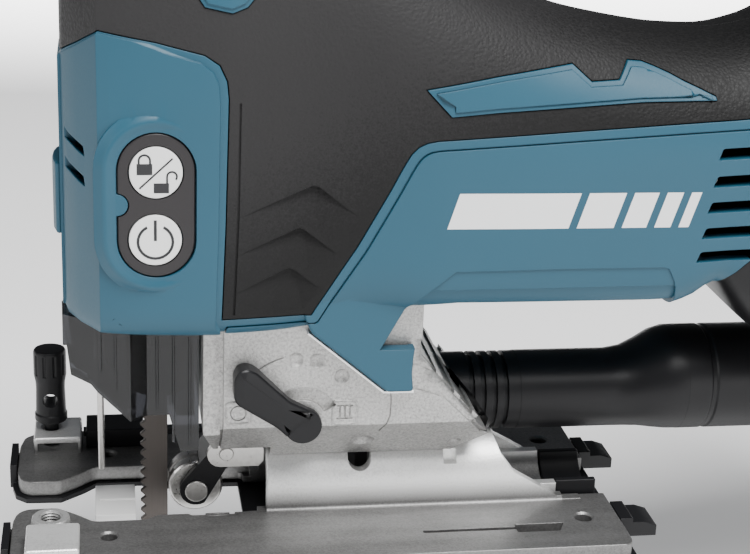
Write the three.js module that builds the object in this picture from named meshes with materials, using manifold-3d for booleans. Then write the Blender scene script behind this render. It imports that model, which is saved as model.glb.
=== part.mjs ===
import * as THREE from 'three';
import { mergeVertices } from 'three/addons/utils/BufferGeometryUtils.js';
import Module from 'manifold-3d';

// Cordless barrel-grip jigsaw, in millimetres.
// +Z is up, -X is the blade end, -Y is the tool's left, and the sole is at z = 0.

const wasm = await Module();
wasm.setup();

// base
const plateTop = 5.5;
const plateBottom = 1.6;
const baseHalfWidth = 39;
const baseRear = 62.2;
const baseFront = -91.5;
const tiltZ = 10;
const humpRadius = 13.5;
const humpWall = 2.7;
const humpFront = -28;
const humpRear = 55;
const troughRadius = 9.2;
const troughZ = 12.2;

// body
const wall = 3.2;
const coverSkin = 2.0;
const midZ = 97;
const halvesGap = 0.12;
const rearFace = 140;

// drive
const motorZ = 92;
const gearTeeth = 48;
const pinionTeeth = 8;
const gearModule = 0.86;
const gearZ = motorZ + (gearModule * (gearTeeth + pinionTeeth)) / 2;
const stroke = 26;
const rodX = -55;
const rodRadius = 4.5;

// blade and guide
const bladeBack = -52.6;
const bladeTips = -59.6;
const bladeThickness = 1.5;
const rollerRadius = 7;
const rollerX = bladeBack + rollerRadius + 0.1;
const rollerZ = 8.6;
const holderX = -38;
const holderZ = 19.6;
const leverX = -20.7;
const leverZ = 34.6;

// nozzle and battery
const nozzleZ = 31.7;
const socketZ = 34.3;
const batteryFront = 141;
const batteryRear = 203;
const batteryBottom = 50;
const batteryTop = 165;
const batteryHalfWidth = 37.5;

const group = new THREE.Group();
group.name = 'cordless_jigsaw';

const teal = 0x4f7f96;
const black = 0x2b2c2e;
const softBlack = 0x3a3b3d;
const castGrey = 0xb9bab8;
const steel = 0xc4c3bf;
const darkSteel = 0x77787a;
const bronze = 0x9a7b4a;
const clear = 0x8a8d96;
const white = 0xf0f0ec;
const copper = 0xb06a3a;
const green = 0x2f5d3c;

function toSolid(geometry) {
  const bare = geometry.index ? geometry.toNonIndexed() : geometry.clone();
  bare.deleteAttribute('normal');
  bare.deleteAttribute('uv');
  const merged = mergeVertices(bare, 1e-4);
  return new wasm.Manifold(new wasm.Mesh({
    numProp: 3,
    vertProperties: new Float32Array(merged.attributes.position.array),
    triVerts: new Uint32Array(merged.index.array),
  }));
}

function toGeometry(solid) {
  const mesh = solid.getMesh();
  const geometry = new THREE.BufferGeometry();
  geometry.setAttribute('position', new THREE.BufferAttribute(new Float32Array(mesh.vertProperties), 3));
  geometry.setIndex(new THREE.BufferAttribute(new Uint32Array(mesh.triVerts), 1));
  geometry.computeVertexNormals();
  return geometry;
}

function addPart(name, solid, color, roughness = 0.6, metalness = 0) {
  const material = new THREE.MeshStandardMaterial({ color, roughness, metalness });
  const mesh = new THREE.Mesh(toGeometry(solid), material);
  mesh.name = name;
  group.add(mesh);
}

function box(x0, x1, y0, y1, z0, z1) {
  const geometry = new THREE.BoxGeometry(x1 - x0, y1 - y0, z1 - z0);
  geometry.translate((x0 + x1) / 2, (y0 + y1) / 2, (z0 + z1) / 2);
  return toSolid(geometry);
}

function extrude(points, depth) {
  const shape = new THREE.Shape(points.map(([a, b]) => new THREE.Vector2(a, b)));
  return new THREE.ExtrudeGeometry(shape, { depth, bevelEnabled: false });
}

function prismXZ(points, y0, y1) {
  const geometry = extrude(points, y1 - y0);
  geometry.rotateX(Math.PI / 2);
  geometry.translate(0, y1, 0);
  return toSolid(geometry);
}

function prismXY(points, z0, z1) {
  const geometry = extrude(points, z1 - z0);
  geometry.translate(0, 0, z0);
  return toSolid(geometry);
}

function prismYZ(points, x0, x1) {
  const geometry = extrude(points, x1 - x0);
  const turn = new THREE.Matrix4().makeBasis(
    new THREE.Vector3(0, 1, 0),
    new THREE.Vector3(0, 0, 1),
    new THREE.Vector3(1, 0, 0),
  );
  geometry.applyMatrix4(turn);
  geometry.translate(x0, 0, 0);
  return toSolid(geometry);
}

function rodAlongX(radius, x0, x1, y, z, segments = 24) {
  const geometry = new THREE.CylinderGeometry(radius, radius, x1 - x0, segments);
  geometry.rotateZ(Math.PI / 2);
  geometry.translate((x0 + x1) / 2, y, z);
  return toSolid(geometry);
}

function rodAlongY(radius, y0, y1, x, z, segments = 24) {
  const geometry = new THREE.CylinderGeometry(radius, radius, y1 - y0, segments);
  geometry.translate(x, (y0 + y1) / 2, z);
  return toSolid(geometry);
}

function rodAlongZ(radius, z0, z1, x, y, segments = 24) {
  const geometry = new THREE.CylinderGeometry(radius, radius, z1 - z0, segments);
  geometry.rotateX(Math.PI / 2);
  geometry.translate(x, y, (z0 + z1) / 2);
  return toSolid(geometry);
}

function coneAlongZ(lowRadius, highRadius, z0, z1, x, y, segments = 24) {
  const geometry = new THREE.CylinderGeometry(highRadius, lowRadius, z1 - z0, segments);
  geometry.rotateX(Math.PI / 2);
  geometry.translate(x, y, (z0 + z1) / 2);
  return toSolid(geometry);
}

function turnedAlongX(profile, y, z, segments = 28) {
  const points = profile.map(([x, r]) => new THREE.Vector2(r, x));
  const geometry = new THREE.LatheGeometry(points, segments);
  geometry.rotateZ(-Math.PI / 2);
  geometry.translate(0, y, z);
  return toSolid(geometry);
}

function arc(cx, cy, radius, from, to, steps) {
  const points = [];
  for (let i = 0; i <= steps; i += 1) {
    const angle = THREE.MathUtils.degToRad(from + ((to - from) * i) / steps);
    points.push([cx + radius * Math.cos(angle), cy + radius * Math.sin(angle)]);
  }
  return points;
}

function stadium(cx, zLow, zHigh, radius, steps = 10) {
  return [
    ...arc(cx, zHigh - radius, radius, 0, 180, steps),
    ...arc(cx, zLow + radius, radius, 180, 360, steps),
  ];
}

function growOutline(points, distance) {
  const area = points.reduce((sum, [x, y], i) => {
    const [nx, ny] = points[(i + 1) % points.length];
    return sum + x * ny - nx * y;
  }, 0);
  const side = area > 0 ? 1 : -1;
  return points.map(([x, y], i) => {
    const [px, py] = points[(i + points.length - 1) % points.length];
    const [nx, ny] = points[(i + 1) % points.length];
    const before = new THREE.Vector2(y - py, px - x).normalize();
    const after = new THREE.Vector2(ny - y, x - nx).normalize();
    const sum = before.clone().add(after);
    const scale = (2 * side * distance) / Math.max(sum.lengthSq(), 0.8);
    return [x + sum.x * scale, y + sum.y * scale];
  });
}

// x, top, bottom, half width, top roundness, bottom roundness
const bodyStations = [
  [-77.3, 146, 61, 9, 4, 9],
  [-76.5, 152, 59.9, 12, 4, 11],
  [-73.5, 160.5, 59.5, 17.8, 3.6, 12],
  [-69, 168.5, 59.5, 26.5, 3.4, 12],
  [-65.5, 172.4, 59.5, 28.5, 3.3, 12],
  [-60, 176, 59.5, 29.6, 3.2, 12],
  [-51, 179.3, 59.5, 30.6, 3.2, 12],
  [-42, 180, 59.5, 31, 3.1, 12],
  [-32, 177.5, 59.5, 30, 3, 12],
  [-22, 172, 59.6, 29.2, 2.9, 9],
  [-12, 164.5, 60.8, 29.6, 2.8, 6],
  [-2, 156.5, 62.6, 31, 2.7, 6],
  [8, 149, 63.4, 32, 2.6, 7],
  [20, 142.2, 63.4, 32.3, 2.5, 7],
  [32, 137, 63.4, 32.5, 2.4, 7],
  [43, 133.5, 63.4, 32.5, 2.4, 7],
  [55, 131, 63.4, 32.5, 2.4, 7],
  [66, 129.3, 63.7, 32.5, 2.4, 7],
  [73, 128.8, 66, 32.5, 2.4, 7],
  [80, 128.7, 70, 32.5, 2.4, 6.5],
  [84.5, 129.1, 65.2, 32.6, 2.4, 6],
  [90, 130.2, 58.8, 33, 2.5, 5],
  [97, 132.4, 53, 34, 2.6, 4.5],
  [106, 137, 50.6, 35.4, 2.9, 3.6],
  [118, 146.5, 50, 37, 3.4, 4.5],
  [130, 158, 50, 37.8, 4, 6],
  [rearFace, 162, 50, 38, 4.5, 7],
];

function insetStations(distance, firstX, lastX) {
  const inner = bodyStations.map(([x, top, low, half, n, m]) => [
    x, top - distance, low + distance, half - distance, n, m,
  ]);
  const kept = inner.filter(([x]) => x > firstX + 1 && x < lastX - 1);
  const front = inner.find(([x]) => x > firstX + 1);
  const back = [...inner].reverse().find(([x]) => x < lastX - 1);
  const drop = distance * 1.6;
  return [
    [firstX, front[1] - drop, front[2], front[3] - drop, front[4], front[5]],
    ...kept,
    [lastX, ...back.slice(1)],
  ];
}

function loft(stations, count) {
  const positions = [];
  const index = [];
  for (const [x, top, low, half, topPower, lowPower] of stations) {
    const middle = Math.min(midZ, (top + low) / 2 + 12);
    for (let i = 0; i < count; i += 1) {
      const angle = (2 * Math.PI * i) / count;
      const c = Math.cos(angle);
      const s = Math.sin(angle);
      const power = 2 / (s >= 0 ? topPower : lowPower);
      const reach = s >= 0 ? top - middle : middle - low;
      const y = Math.abs(c) < 1e-9 ? 0 : half * Math.sign(c) * Math.abs(c) ** power;
      const z = Math.abs(s) < 1e-9 ? 0 : reach * Math.sign(s) * Math.abs(s) ** power;
      positions.push(x, y, middle + z);
    }
  }
  for (let row = 0; row < stations.length - 1; row += 1) {
    for (let i = 0; i < count; i += 1) {
      const a = row * count + i;
      const b = row * count + ((i + 1) % count);
      index.push(a, b, b + count, a, b + count, a + count);
    }
  }
  const last = stations.length - 1;
  for (const row of [0, last]) {
    const [x, top, low] = stations[row];
    const centre = positions.length / 3;
    positions.push(x, 0, (top + low) / 2);
    for (let i = 0; i < count; i += 1) {
      const a = row * count + i;
      const b = row * count + ((i + 1) % count);
      index.push(...(row === 0 ? [centre, b, a] : [centre, a, b]));
    }
  }
  const geometry = new THREE.BufferGeometry();
  geometry.setAttribute('position', new THREE.Float32BufferAttribute(positions, 3));
  geometry.setIndex(index);
  return toSolid(geometry);
}

const leftSpace = () => box(-300, 400, -200, -halvesGap, -100, 400);
const rightSpace = () => box(-300, 400, halvesGap, 200, -100, 400);

// side outline of the soft cover over the head and the top of the barrel
const coverOutline = [
  [-90, 119], [-78, 122.5], [-76.5, 124.5], [-68.6, 131.4], [-56, 129.4], [-45.2, 126.8],
  [-41.5, 124.1], [-40, 120], [-39.8, 110], [-40.3, 86.6], [-41, 64.4], [-19.8, 64.4],
  [-13.8, 74.6], [-9.6, 81.6], [-6.1, 88.4], [-2.4, 95.6], [1.4, 104], [3, 106.2], [6.2, 107.3],
  [40, 109.6], [80, 112], [104, 114], [104, 220], [-90, 220],
];

// side outline of the black rear housing with the battery mount
const rearOutline = [
  [76, 30], [79.7, 70.8], [82.3, 73.7], [84.8, 76.5], [87, 78.6], [100, 88.4], [105, 96], [105, 220],
  [170, 220], [170, 30],
];

const inlayOutline = [
  [5.1, 119.1], [22.1, 121.9], [40.1, 124.2], [44.5, 120.4], [51.4, 120.7], [54.2, 124.6],
  [57.7, 124.3], [60.6, 123.3], [64.1, 121.9], [67.4, 120.3], [71.2, 118.7], [74.8, 117.1],
  [75, 116.3], [56.6, 116.1], [46.1, 115.5], [34.2, 114.8], [22.1, 114.1], [10.9, 113.1],
];

const legOutline = [
  [-24, 70], [-19.6, 59.6], [-0.7, 43.9], [5.8, 43.9], [5.4, 52.2], [6, 57.3], [9, 61.9],
  [13.8, 64.3], [20, 66], [20, 72], [-24, 72],
];

const panelOutline = stadium(-56, 75.5, 109.2, 8.7);
const buttonCentres = { lock: [-56.1, 100.2], power: [-56.3, 84.3] };

const screwPlaces = [[-52, 28.2, 65.6], [14, 30.2, 82], [66, 30.4, 82], [124, 35, 88]];

function outerBody() {
  let solid = loft(bodyStations, 32);
  const ring = stadium(-56, 72.6, 112, 11.4);
  solid = solid.add(prismXZ(ring, -31.2, 31.2));
  return solid.add(prismXZ(legOutline, -28.4, 28.4));
}

function bodyCavity() {
  const solid = loft(insetStations(wall, -73.6, rearFace - 4), 20);
  const besideSwitches = prismXZ(stadium(-56, 70, 114, 13), -40, 40)
    .subtract(box(-100, 0, -24.6, 24.6, 0, 300));
  return solid.subtract(besideSwitches);
}

function openingsInBody() {
  let cuts = box(-66.5, 4.5, -25, 25, 40, 70);
  cuts = cuts.add(box(-30, 26, -24.6, 24.6, 30, 66));
  for (const side of [-1, 1]) {
    const near = side < 0 ? -40 : 28.4;
    cuts = cuts.add(prismXZ(growOutline(panelOutline, 0.3), near, near + 11.6));
    for (const [x, z] of Object.values(buttonCentres)) {
      cuts = cuts.add(rodAlongY(6.5, side < 0 ? -30 : 26.6, side < 0 ? -26.6 : 30, x, z, 28));
    }
  }
  for (const z of [104.2, 97.6, 91.2, 84.8, 78.8]) {
    const start = 75.4 - (104.2 - z) * 0.12;
    cuts = cuts.add(prismXZ([
      [start, z - 1.4], [start + 1, z + 1.4], [99, z + 2.8], [99, z],
    ], -60, 60));
  }
  for (const z of [97.6, 104.6]) {
    for (const side of [-1, 1]) {
      cuts = cuts.add(box(-76.2, -72.6, side > 0 ? 14 : -19, side > 0 ? 19 : -14, z - 2.6, z + 2.6));
    }
  }
  cuts = cuts.add(box(101, 123, -4.7, 4.7, 120, 170));
  for (const [x, y, z] of screwPlaces) {
    cuts = cuts.add(rodAlongY(3.5, y, 60, x, z, 20));
  }
  return cuts;
}

const outer = outerBody();
const shell = outer.subtract(bodyCavity()).subtract(openingsInBody());

function housingHalf(space) {
  const core = loft(insetStations(coverSkin + 0.25, -75, rearFace + 2), 32);
  const skin = prismXZ(coverOutline, -100, 100).subtract(core);
  const rear = prismXZ(rearOutline, -100, 100);
  return shell.subtract(skin).subtract(rear).intersect(space);
}

function gripCover(space) {
  const core = loft(insetStations(coverSkin, -75.2, rearFace + 2), 32);
  const region = prismXZ(growOutline(coverOutline, -0.3), -100, 100);
  const window = prismXZ(growOutline(inlayOutline, 0.25), -100, 100);
  return outer.subtract(core).intersect(region).subtract(window).intersect(space)
    .subtract(openingsInBody());
}

function accentInlay(side) {
  const core = loft(insetStations(coverSkin, -75.2, rearFace + 2), 32);
  const half = side < 0 ? box(-50, 150, -60, -8, 50, 200) : box(-50, 150, 8, 60, 50, 200);
  return outer.subtract(core).intersect(prismXZ(inlayOutline, -100, 100)).intersect(half);
}

function rearHousing() {
  const region = prismXZ(growOutline(rearOutline, -0.3), -100, 100);
  const tongue = box(rearFace - 1, rearFace + 3.4, -20, 20, 66, 150)
    .add(box(rearFace + 3.2, rearFace + 6.2, -24, 24, 66, 150));
  const wires = box(130, 150, -12, 12, 90, 110);
  return shell.intersect(region).add(tongue).subtract(wires);
}

addPart('housing_left', housingHalf(leftSpace()), teal, 0.5);
addPart('housing_right', housingHalf(rightSpace()), teal, 0.5);
addPart('grip_cover_left', gripCover(leftSpace()), softBlack, 0.8);
addPart('grip_cover_right', gripCover(rightSpace()), softBlack, 0.8);
addPart('accent_inlay_left', accentInlay(-1), teal, 0.5);
addPart('accent_inlay_right', accentInlay(1), teal, 0.5);
addPart('rear_housing', rearHousing(), black, 0.6);

// switch panels and their buttons, one set on each side
function switchPanel(side) {
  let solid = prismXZ(panelOutline, side < 0 ? -30.8 : 28.8, side < 0 ? -28.8 : 30.8);
  for (const [x, z] of Object.values(buttonCentres)) {
    solid = solid.subtract(rodAlongY(6.3, -40, 40, x, z, 28));
  }
  return solid;
}

function panelButton(side, [x, z]) {
  return side < 0 ? rodAlongY(6, -31.1, -28.2, x, z, 28) : rodAlongY(6, 28.2, 31.1, x, z, 28);
}

for (const [label, side] of [['left', -1], ['right', 1]]) {
  addPart(`switch_panel_${label}`, switchPanel(side), black, 0.5);
  addPart(`lock_button_${label}`, panelButton(side, buttonCentres.lock), white, 0.4);
  addPart(`power_button_${label}`, panelButton(side, buttonCentres.power), white, 0.4);
}

function speedDial() {
  let solid = rodAlongY(9.4, -4, 4, 112, 134, 36);
  for (let i = 0; i < 18; i += 1) {
    const angle = (2 * Math.PI * i) / 18;
    const x = 112 + 9.8 * Math.cos(angle);
    const z = 134 + 9.8 * Math.sin(angle);
    solid = solid.subtract(rodAlongY(0.8, -5, 5, x, z, 6));
  }
  return solid;
}

addPart('speed_dial', speedDial(), black, 0.7);

// lever on the nose that opens the blade clamp
addPart('tool_opener', prismXY([
  [-77.7, 8], [-79, 7.6], [-79.7, 4], [-79.9, 0], [-79.7, -4], [-79, -7.6], [-77.7, -8],
], 78.6, 96.4), teal, 0.5);

addPart('led_lamp', rodAlongZ(2.2, 57.9, 59.2, -67.5, 20, 16), white, 0.3);

// cast gear housing, with the lower body that straddles the base and the bulkhead that holds the gears
function gearHousing() {
  const side = [
    [-44.7, 31], [-40, 19], [19.3, 19], [27.8, 27.4], [24, 31.6], [22.4, 34.6], [8.4, 51], [8.4, 66],
    [-44.7, 66],
  ];
  const section = [
    [-9.4, 19], [9.4, 19], [24, 33.6], [24, 66], [-24, 66], [-24, 33.6],
  ];
  let solid = prismXZ(side, -24, 24).intersect(prismYZ(section, -60, 60));
  solid = solid.subtract(box(-60, -40, -60, -21, 0, 100)).subtract(box(-60, -40, 21, 60, 0, 100));
  solid = solid.subtract(prismXZ([[8.2, 70], [8.2, 51], [30, 25], [60, 25], [60, 70]], -30, -19));
  solid = solid.subtract(prismXZ([[8.2, 70], [8.2, 51], [30, 25], [60, 25], [60, 70]], 19, 30));
  for (const [x, z, lean] of [[12, 40, 0.2], [16, 37, 0.5], [20, 33, 0.9]]) {
    const fin = [[x - 0.7, z - 9], [x + 0.9, z - 9], [x + 1.4 + lean * 4, z + 7], [x - 0.4 + lean * 4, z + 7]];
    const limit = prismXZ([[8, 52], [24, 34], [28, 28], [20, 22], [8, 22]], -40, 40);
    solid = solid.add(prismXZ(fin, -23, 23).intersect(limit).intersect(prismYZ(section, -60, 60)));
  }
  solid = solid.subtract(box(-37, 2, -20.5, 20.5, 36, 80));
  solid = solid.subtract(box(-34, -6, -12, 12, 27.5, 40));
  solid = solid.add(box(-44.7, -40.4, -20, 20, 60, 72));
  solid = solid.add(box(-32, -26, -22.5, 22.5, 62, 146));
  solid = solid.add(box(-64, -30, -9.5, 9.5, 79, 87.4));
  solid = solid.add(box(-64, -30, -11, 11, 139, 146));
  solid = solid.subtract(box(-60, 60, -60, 60, 146.5, 200));
  solid = solid.subtract(box(-60, -27.2, -60, 60, 0, 23.6));
  solid = solid.subtract(rodAlongX(humpRadius + 0.3, -60, 60, 0, tiltZ, 48));
  solid = solid.subtract(rodAlongX(9.55, -40, -20, 0, gearZ, 32));
  solid = solid.subtract(rodAlongX(8.05, -40, -20, 0, motorZ, 32));
  solid = solid.subtract(rodAlongZ(6.6, 50, 160, rodX, 0, 32));
  solid = solid.subtract(rodAlongY(3.1, -60, 60, leverX, leverZ, 24));
  solid = solid.subtract(rodAlongZ(2.3, 10, 60, -4, 0, 20));
  solid = solid.subtract(rodAlongX(7.1, 0, 60, 0, nozzleZ, 32));
  return solid;
}

addPart('gear_housing', gearHousing(), castGrey, 0.55, 0.6);

function ringAlongX(outerRadius, innerRadius, x0, x1, z, segments = 32) {
  return rodAlongX(outerRadius, x0, x1, 0, z, segments)
    .subtract(rodAlongX(innerRadius, x0 - 1, x1 + 1, 0, z, segments));
}

function ringAlongZ(outerRadius, innerRadius, z0, z1, x, y) {
  return rodAlongZ(outerRadius, z0, z1, x, y, 32)
    .subtract(rodAlongZ(innerRadius, z0 - 1, z1 + 1, x, y, 32));
}

addPart('lower_guide', ringAlongZ(6.5, rodRadius + 0.08, 79.4, 87, rodX, 0), bronze, 0.4, 0.8);
addPart('upper_guide', ringAlongZ(6.5, rodRadius + 0.08, 139.5, 145.5, rodX, 0), bronze, 0.4, 0.8);
addPart('gear_bearing', ringAlongX(9.5, 4.07, -31.5, -26.5, gearZ), steel, 0.3, 0.9);
addPart('front_bearing', ringAlongX(8, 2.47, -31.5, -26.5, motorZ), steel, 0.3, 0.9);
addPart('rear_bearing', ringAlongX(8, 2.47, 80, 85.5, motorZ), steel, 0.3, 0.9);

// motor, fan and gears
function motorStator() {
  let solid = ringAlongX(23.2, 14.6, 31, 67, motorZ, 36);
  for (let i = 0; i < 6; i += 1) {
    const angle = (2 * Math.PI * (i + 0.5)) / 6;
    const y = 16.5 * Math.cos(angle);
    const z = motorZ + 16.5 * Math.sin(angle);
    solid = solid.subtract(rodAlongX(1.8, 30, 68, y, z, 12));
  }
  return solid;
}

function toothedOutline(teeth, rootRadius, tipRadius, firstAngle, centre, rootHalf, tipHalf) {
  const points = [];
  for (let i = 0; i < teeth; i += 1) {
    const angle = firstAngle + (2 * Math.PI * i) / teeth;
    const corners = [
      [rootRadius, -rootHalf], [tipRadius, -tipHalf], [tipRadius, tipHalf], [rootRadius, rootHalf],
    ];
    for (const [radius, half] of corners) {
      const turn = angle + half / radius;
      points.push([radius * Math.cos(turn), centre + radius * Math.sin(turn)]);
    }
  }
  return points;
}

function motorRotor() {
  const pitch = (gearModule * pinionTeeth) / 2;
  const outline = toothedOutline(pinionTeeth, pitch - 0.75, pitch + 0.45, Math.PI / 2, motorZ, 0.52, 0.3);
  return prismYZ(outline, -42, -33)
    .add(rodAlongX(2.4, -34, 88, 0, motorZ, 20))
    .add(rodAlongX(14, 32, 66, 0, motorZ, 32));
}

function driveGear() {
  const pitch = (gearModule * gearTeeth) / 2;
  const first = -Math.PI / 2 + Math.PI / gearTeeth;
  const outline = toothedOutline(gearTeeth, pitch - 0.75, pitch + 0.4, first, gearZ, 0.6, 0.35);
  let solid = prismYZ(outline, -41, -34);
  solid = solid.add(rodAlongX(4, -35, -22, 0, gearZ, 24));
  solid = solid.add(rodAlongX(3, -43.4, -40, 0, gearZ - stroke / 2, 20));
  return solid.subtract(rodAlongX(3.5, -45, -33, 0, gearZ + 12, 20));
}

function coolingFan() {
  let solid = rodAlongX(7, 13, 21, 0, motorZ, 24).add(rodAlongX(24, 19.5, 21, 0, motorZ, 36));
  for (let i = 0; i < 11; i += 1) {
    const blade = toSolid(new THREE.BoxGeometry(6, 17.2, 1.2).translate(17, 15, 0));
    solid = solid.add(blade.rotate([(360 * i) / 11, 0, 0]).translate([0, 0, motorZ]));
  }
  return solid.subtract(rodAlongX(2.42, 0, 40, 0, motorZ, 20));
}

addPart('motor_stator', motorStator(), copper, 0.5, 0.5);
addPart('motor_rotor', motorRotor(), steel, 0.35, 0.9);
addPart('cooling_fan', coolingFan(), black, 0.6);
addPart('drive_gear', driveGear(), darkSteel, 0.35, 0.9);

// plunger with its yoke, the blade clamp and the blade
function plungerRod() {
  const pinZ = gearZ - stroke / 2;
  return rodAlongZ(rodRadius, 52, 146, rodX, 0, 32)
    .add(box(-60, -44, -19, 19, pinZ - 5.5, pinZ + 5.5))
    .subtract(box(-49.5, -40, -17, 17, pinZ - 3.2, pinZ + 3.2));
}

function bladeClamp() {
  let solid = rodAlongZ(7.2, 35.5, 51.6, rodX, 0, 32);
  solid = solid.add(rodAlongZ(8, 44, 49, rodX, 0, 32));
  return solid.subtract(box(-59.4, -50.6, -0.95, 0.95, 30, 50.4));
}

function sawBlade() {
  const pitch = 2.7;
  const outline = [[bladeBack, -44], [bladeBack, 37], [-53.4, 39], [-53.4, 50], [-57.4, 50], [-57.4, 39]];
  const count = 26;
  outline.push([bladeTips + 1.5, 34]);
  for (let i = 0; i < count; i += 1) {
    const z = 27.5 - pitch * i;
    outline.push([bladeTips, z]);
    outline.push([bladeTips + 1.5, z - pitch * 0.55]);
  }
  outline.push([bladeTips + 1.2, -43.5]);
  outline.push([-54.6, -48]);
  return prismXZ(outline, -bladeThickness / 2, bladeThickness / 2);
}

addPart('plunger_rod', plungerRod(), steel, 0.3, 0.9);
addPart('blade_clamp', bladeClamp(), darkSteel, 0.4, 0.8);
addPart('saw_blade', sawBlade(), steel, 0.35, 0.9);

// blade guide: bracket, holder and roller
function holderBracket() {
  const outline = [...arc(-39.5, 19.4, 3.4, 90, 270, 8), [-29.8, 16], [-28.5, 17.4], [-28.5, 20.8], [-29.8, 22.5]];
  const cheeks = prismXZ(outline, -8.8, -7.2).add(prismXZ(outline, 7.2, 8.8));
  const link = box(-33, -28.8, -8, 8, 20.4, 22.4);
  return cheeks.add(link)
    .subtract(rodAlongY(1.85, -10, 10, holderX, holderZ, 20));
}

function rollerHolder() {
  const lobe = [
    ...arc(holderX, holderZ, 3.4, 10, 110, 8),
    ...arc(rollerX, rollerZ, 4.2, 140, 300, 12),
  ];
  const fork = prismXZ(lobe, -6.6, 6.6);
  const gap = rodAlongY(rollerRadius + 0.5, -4.6, 4.6, rollerX, rollerZ, 32);
  return fork.subtract(gap)
    .subtract(rodAlongY(1.85, -10, 10, holderX, holderZ, 20))
    .subtract(rodAlongY(2.05, -10, 10, rollerX, rollerZ, 20));
}

function guideRoller() {
  const profile = [
    [-4.2, 0], [-4.2, 6.4], [-3.7, rollerRadius], [-1, rollerRadius], [-0.8, rollerRadius - 0.9],
    [0.8, rollerRadius - 0.9], [1, rollerRadius], [3.7, rollerRadius], [4.2, 6.4], [4.2, 0],
  ];
  const points = profile.map(([y, r]) => new THREE.Vector2(r, y));
  const geometry = new THREE.LatheGeometry(points, 28);
  geometry.translate(rollerX, 0, rollerZ);
  return toSolid(geometry).subtract(rodAlongY(2.07, -10, 10, rollerX, rollerZ, 20));
}

addPart('holder_bracket', holderBracket(), steel, 0.3, 0.9);
addPart('holder_pin', rodAlongY(1.8, -9.4, 9.4, holderX, holderZ, 20), steel, 0.3, 0.9);
addPart('roller_holder', rollerHolder(), darkSteel, 0.5, 0.6);
addPart('roller_pin', rodAlongY(2, -7.4, 7.4, rollerX, rollerZ, 20)
  .add(rodAlongY(2.9, -7.6, -6.75, rollerX, rollerZ, 24)), steel, 0.3, 0.9);
addPart('guide_roller', guideRoller(), steel, 0.3, 0.9);

// lever that sets the pendulum action
function orbitalLever() {
  const hub = rodAlongY(4.6, -26.3, -24.3, leverX, leverZ, 32);
  const arm = [
    [leverX + 3.1, leverZ + 3.2], [-26.4, 44], [-32.6, 50.4], [-35, 51.2], [-37.4, 50.2], [-38, 48],
    [-37.8, 43], [-36.6, 41.4], [-26, 33], [leverX - 3.2, leverZ - 3.1],
  ];
  return hub.add(prismXZ(arm, -26.3, -24.5)).subtract(rodAlongY(2.2, -25.4, -20, leverX, leverZ, 16));
}

function orbitalCam() {
  return rodAlongY(2.15, -25.2, -12, leverX, leverZ, 16)
    .add(rodAlongY(2.95, -23.6, 22, leverX, leverZ, 20))
    .subtract(box(-40, 0, -6, 6, leverZ + 1.2, 60));
}

addPart('orbital_lever', orbitalLever(), black, 0.45);
addPart('orbital_cam', orbitalCam(), darkSteel, 0.35, 0.9);

// clear cover round the blade, and the wire finger guard
function dustCover() {
  const side = [
    [-78.2, 58.8], [-77.2, 50.6], [-76.4, 43.4], [-71.6, 42.2], [-66.3, 36.7], [-62.1, 32.4],
    [-52.6, 32.4], [-49.8, 22.4], [-45.2, 22.4], [-45.2, 58.8],
  ];
  const inside = [
    [-76.4, 70], [-76.4, 57], [-75.3, 49.5], [-74.8, 45.2], [-70.8, 44], [-65.2, 38.2], [-61.4, 34.4],
    [-61.4, 10], [-20, 10], [-20, 70],
  ];
  const plan = [
    [-79, -9], [-70, -15.5], [-62, -15.5], [-58, -12], [-45, -12], [-45, 12], [-58, 12], [-62, 15.5],
    [-70, 15.5], [-79, 9],
  ];
  const planInside = [
    [-79, -7], [-69.3, -13.7], [-62.8, -13.7], [-58.8, -10.2], [-20, -10.2], [-20, 10.2], [-58.8, 10.2],
    [-62.8, 13.7], [-69.3, 13.7], [-79, 7],
  ];
  const hollow = prismXZ(inside, -30, 30).intersect(prismXY(planInside, 0, 90));
  const slot = box(-90, -60, -1.6, 1.6, 20, 46);
  return prismXZ(side, -30, 30).intersect(prismXY(plan, 0, 90)).subtract(hollow).subtract(slot);
}

addPart('dust_cover', dustCover(), clear, 0.2);
addPart('wire_guard', rodAlongZ(0.85, 12.5, 59.1, -69.4, 0, 12), steel, 0.3, 0.9);

// base: cast shoe with its fork, tunnel and fence bridges
function basePlan() {
  const near = [
    [baseRear - 1.5, -baseHalfWidth], [-86, -baseHalfWidth], [-90.4, -35.6], [baseFront, -30],
    [baseFront, -14], [-90.6, -9.6], [-88.4, -7.6], [-80.5, -7.3], [-75.2, -11.6], [-71.5, -15.5],
    [-58.5, -15.5], [-56, -13.2], [-32, -13.2], [-32, 13.2], [-56, 13.2], [-58.5, 15.5],
    [-71.5, 15.5], [-75.2, 11.6], [-80.5, 7.3], [-88.4, 7.6], [-90.6, 9.6], [baseFront, 14],
    [baseFront, 30], [-90.4, 35.6], [-86, baseHalfWidth], [baseRear - 1.5, baseHalfWidth],
    [baseRear, 37], [baseRear, -37],
  ];
  return near.reverse();
}

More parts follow.
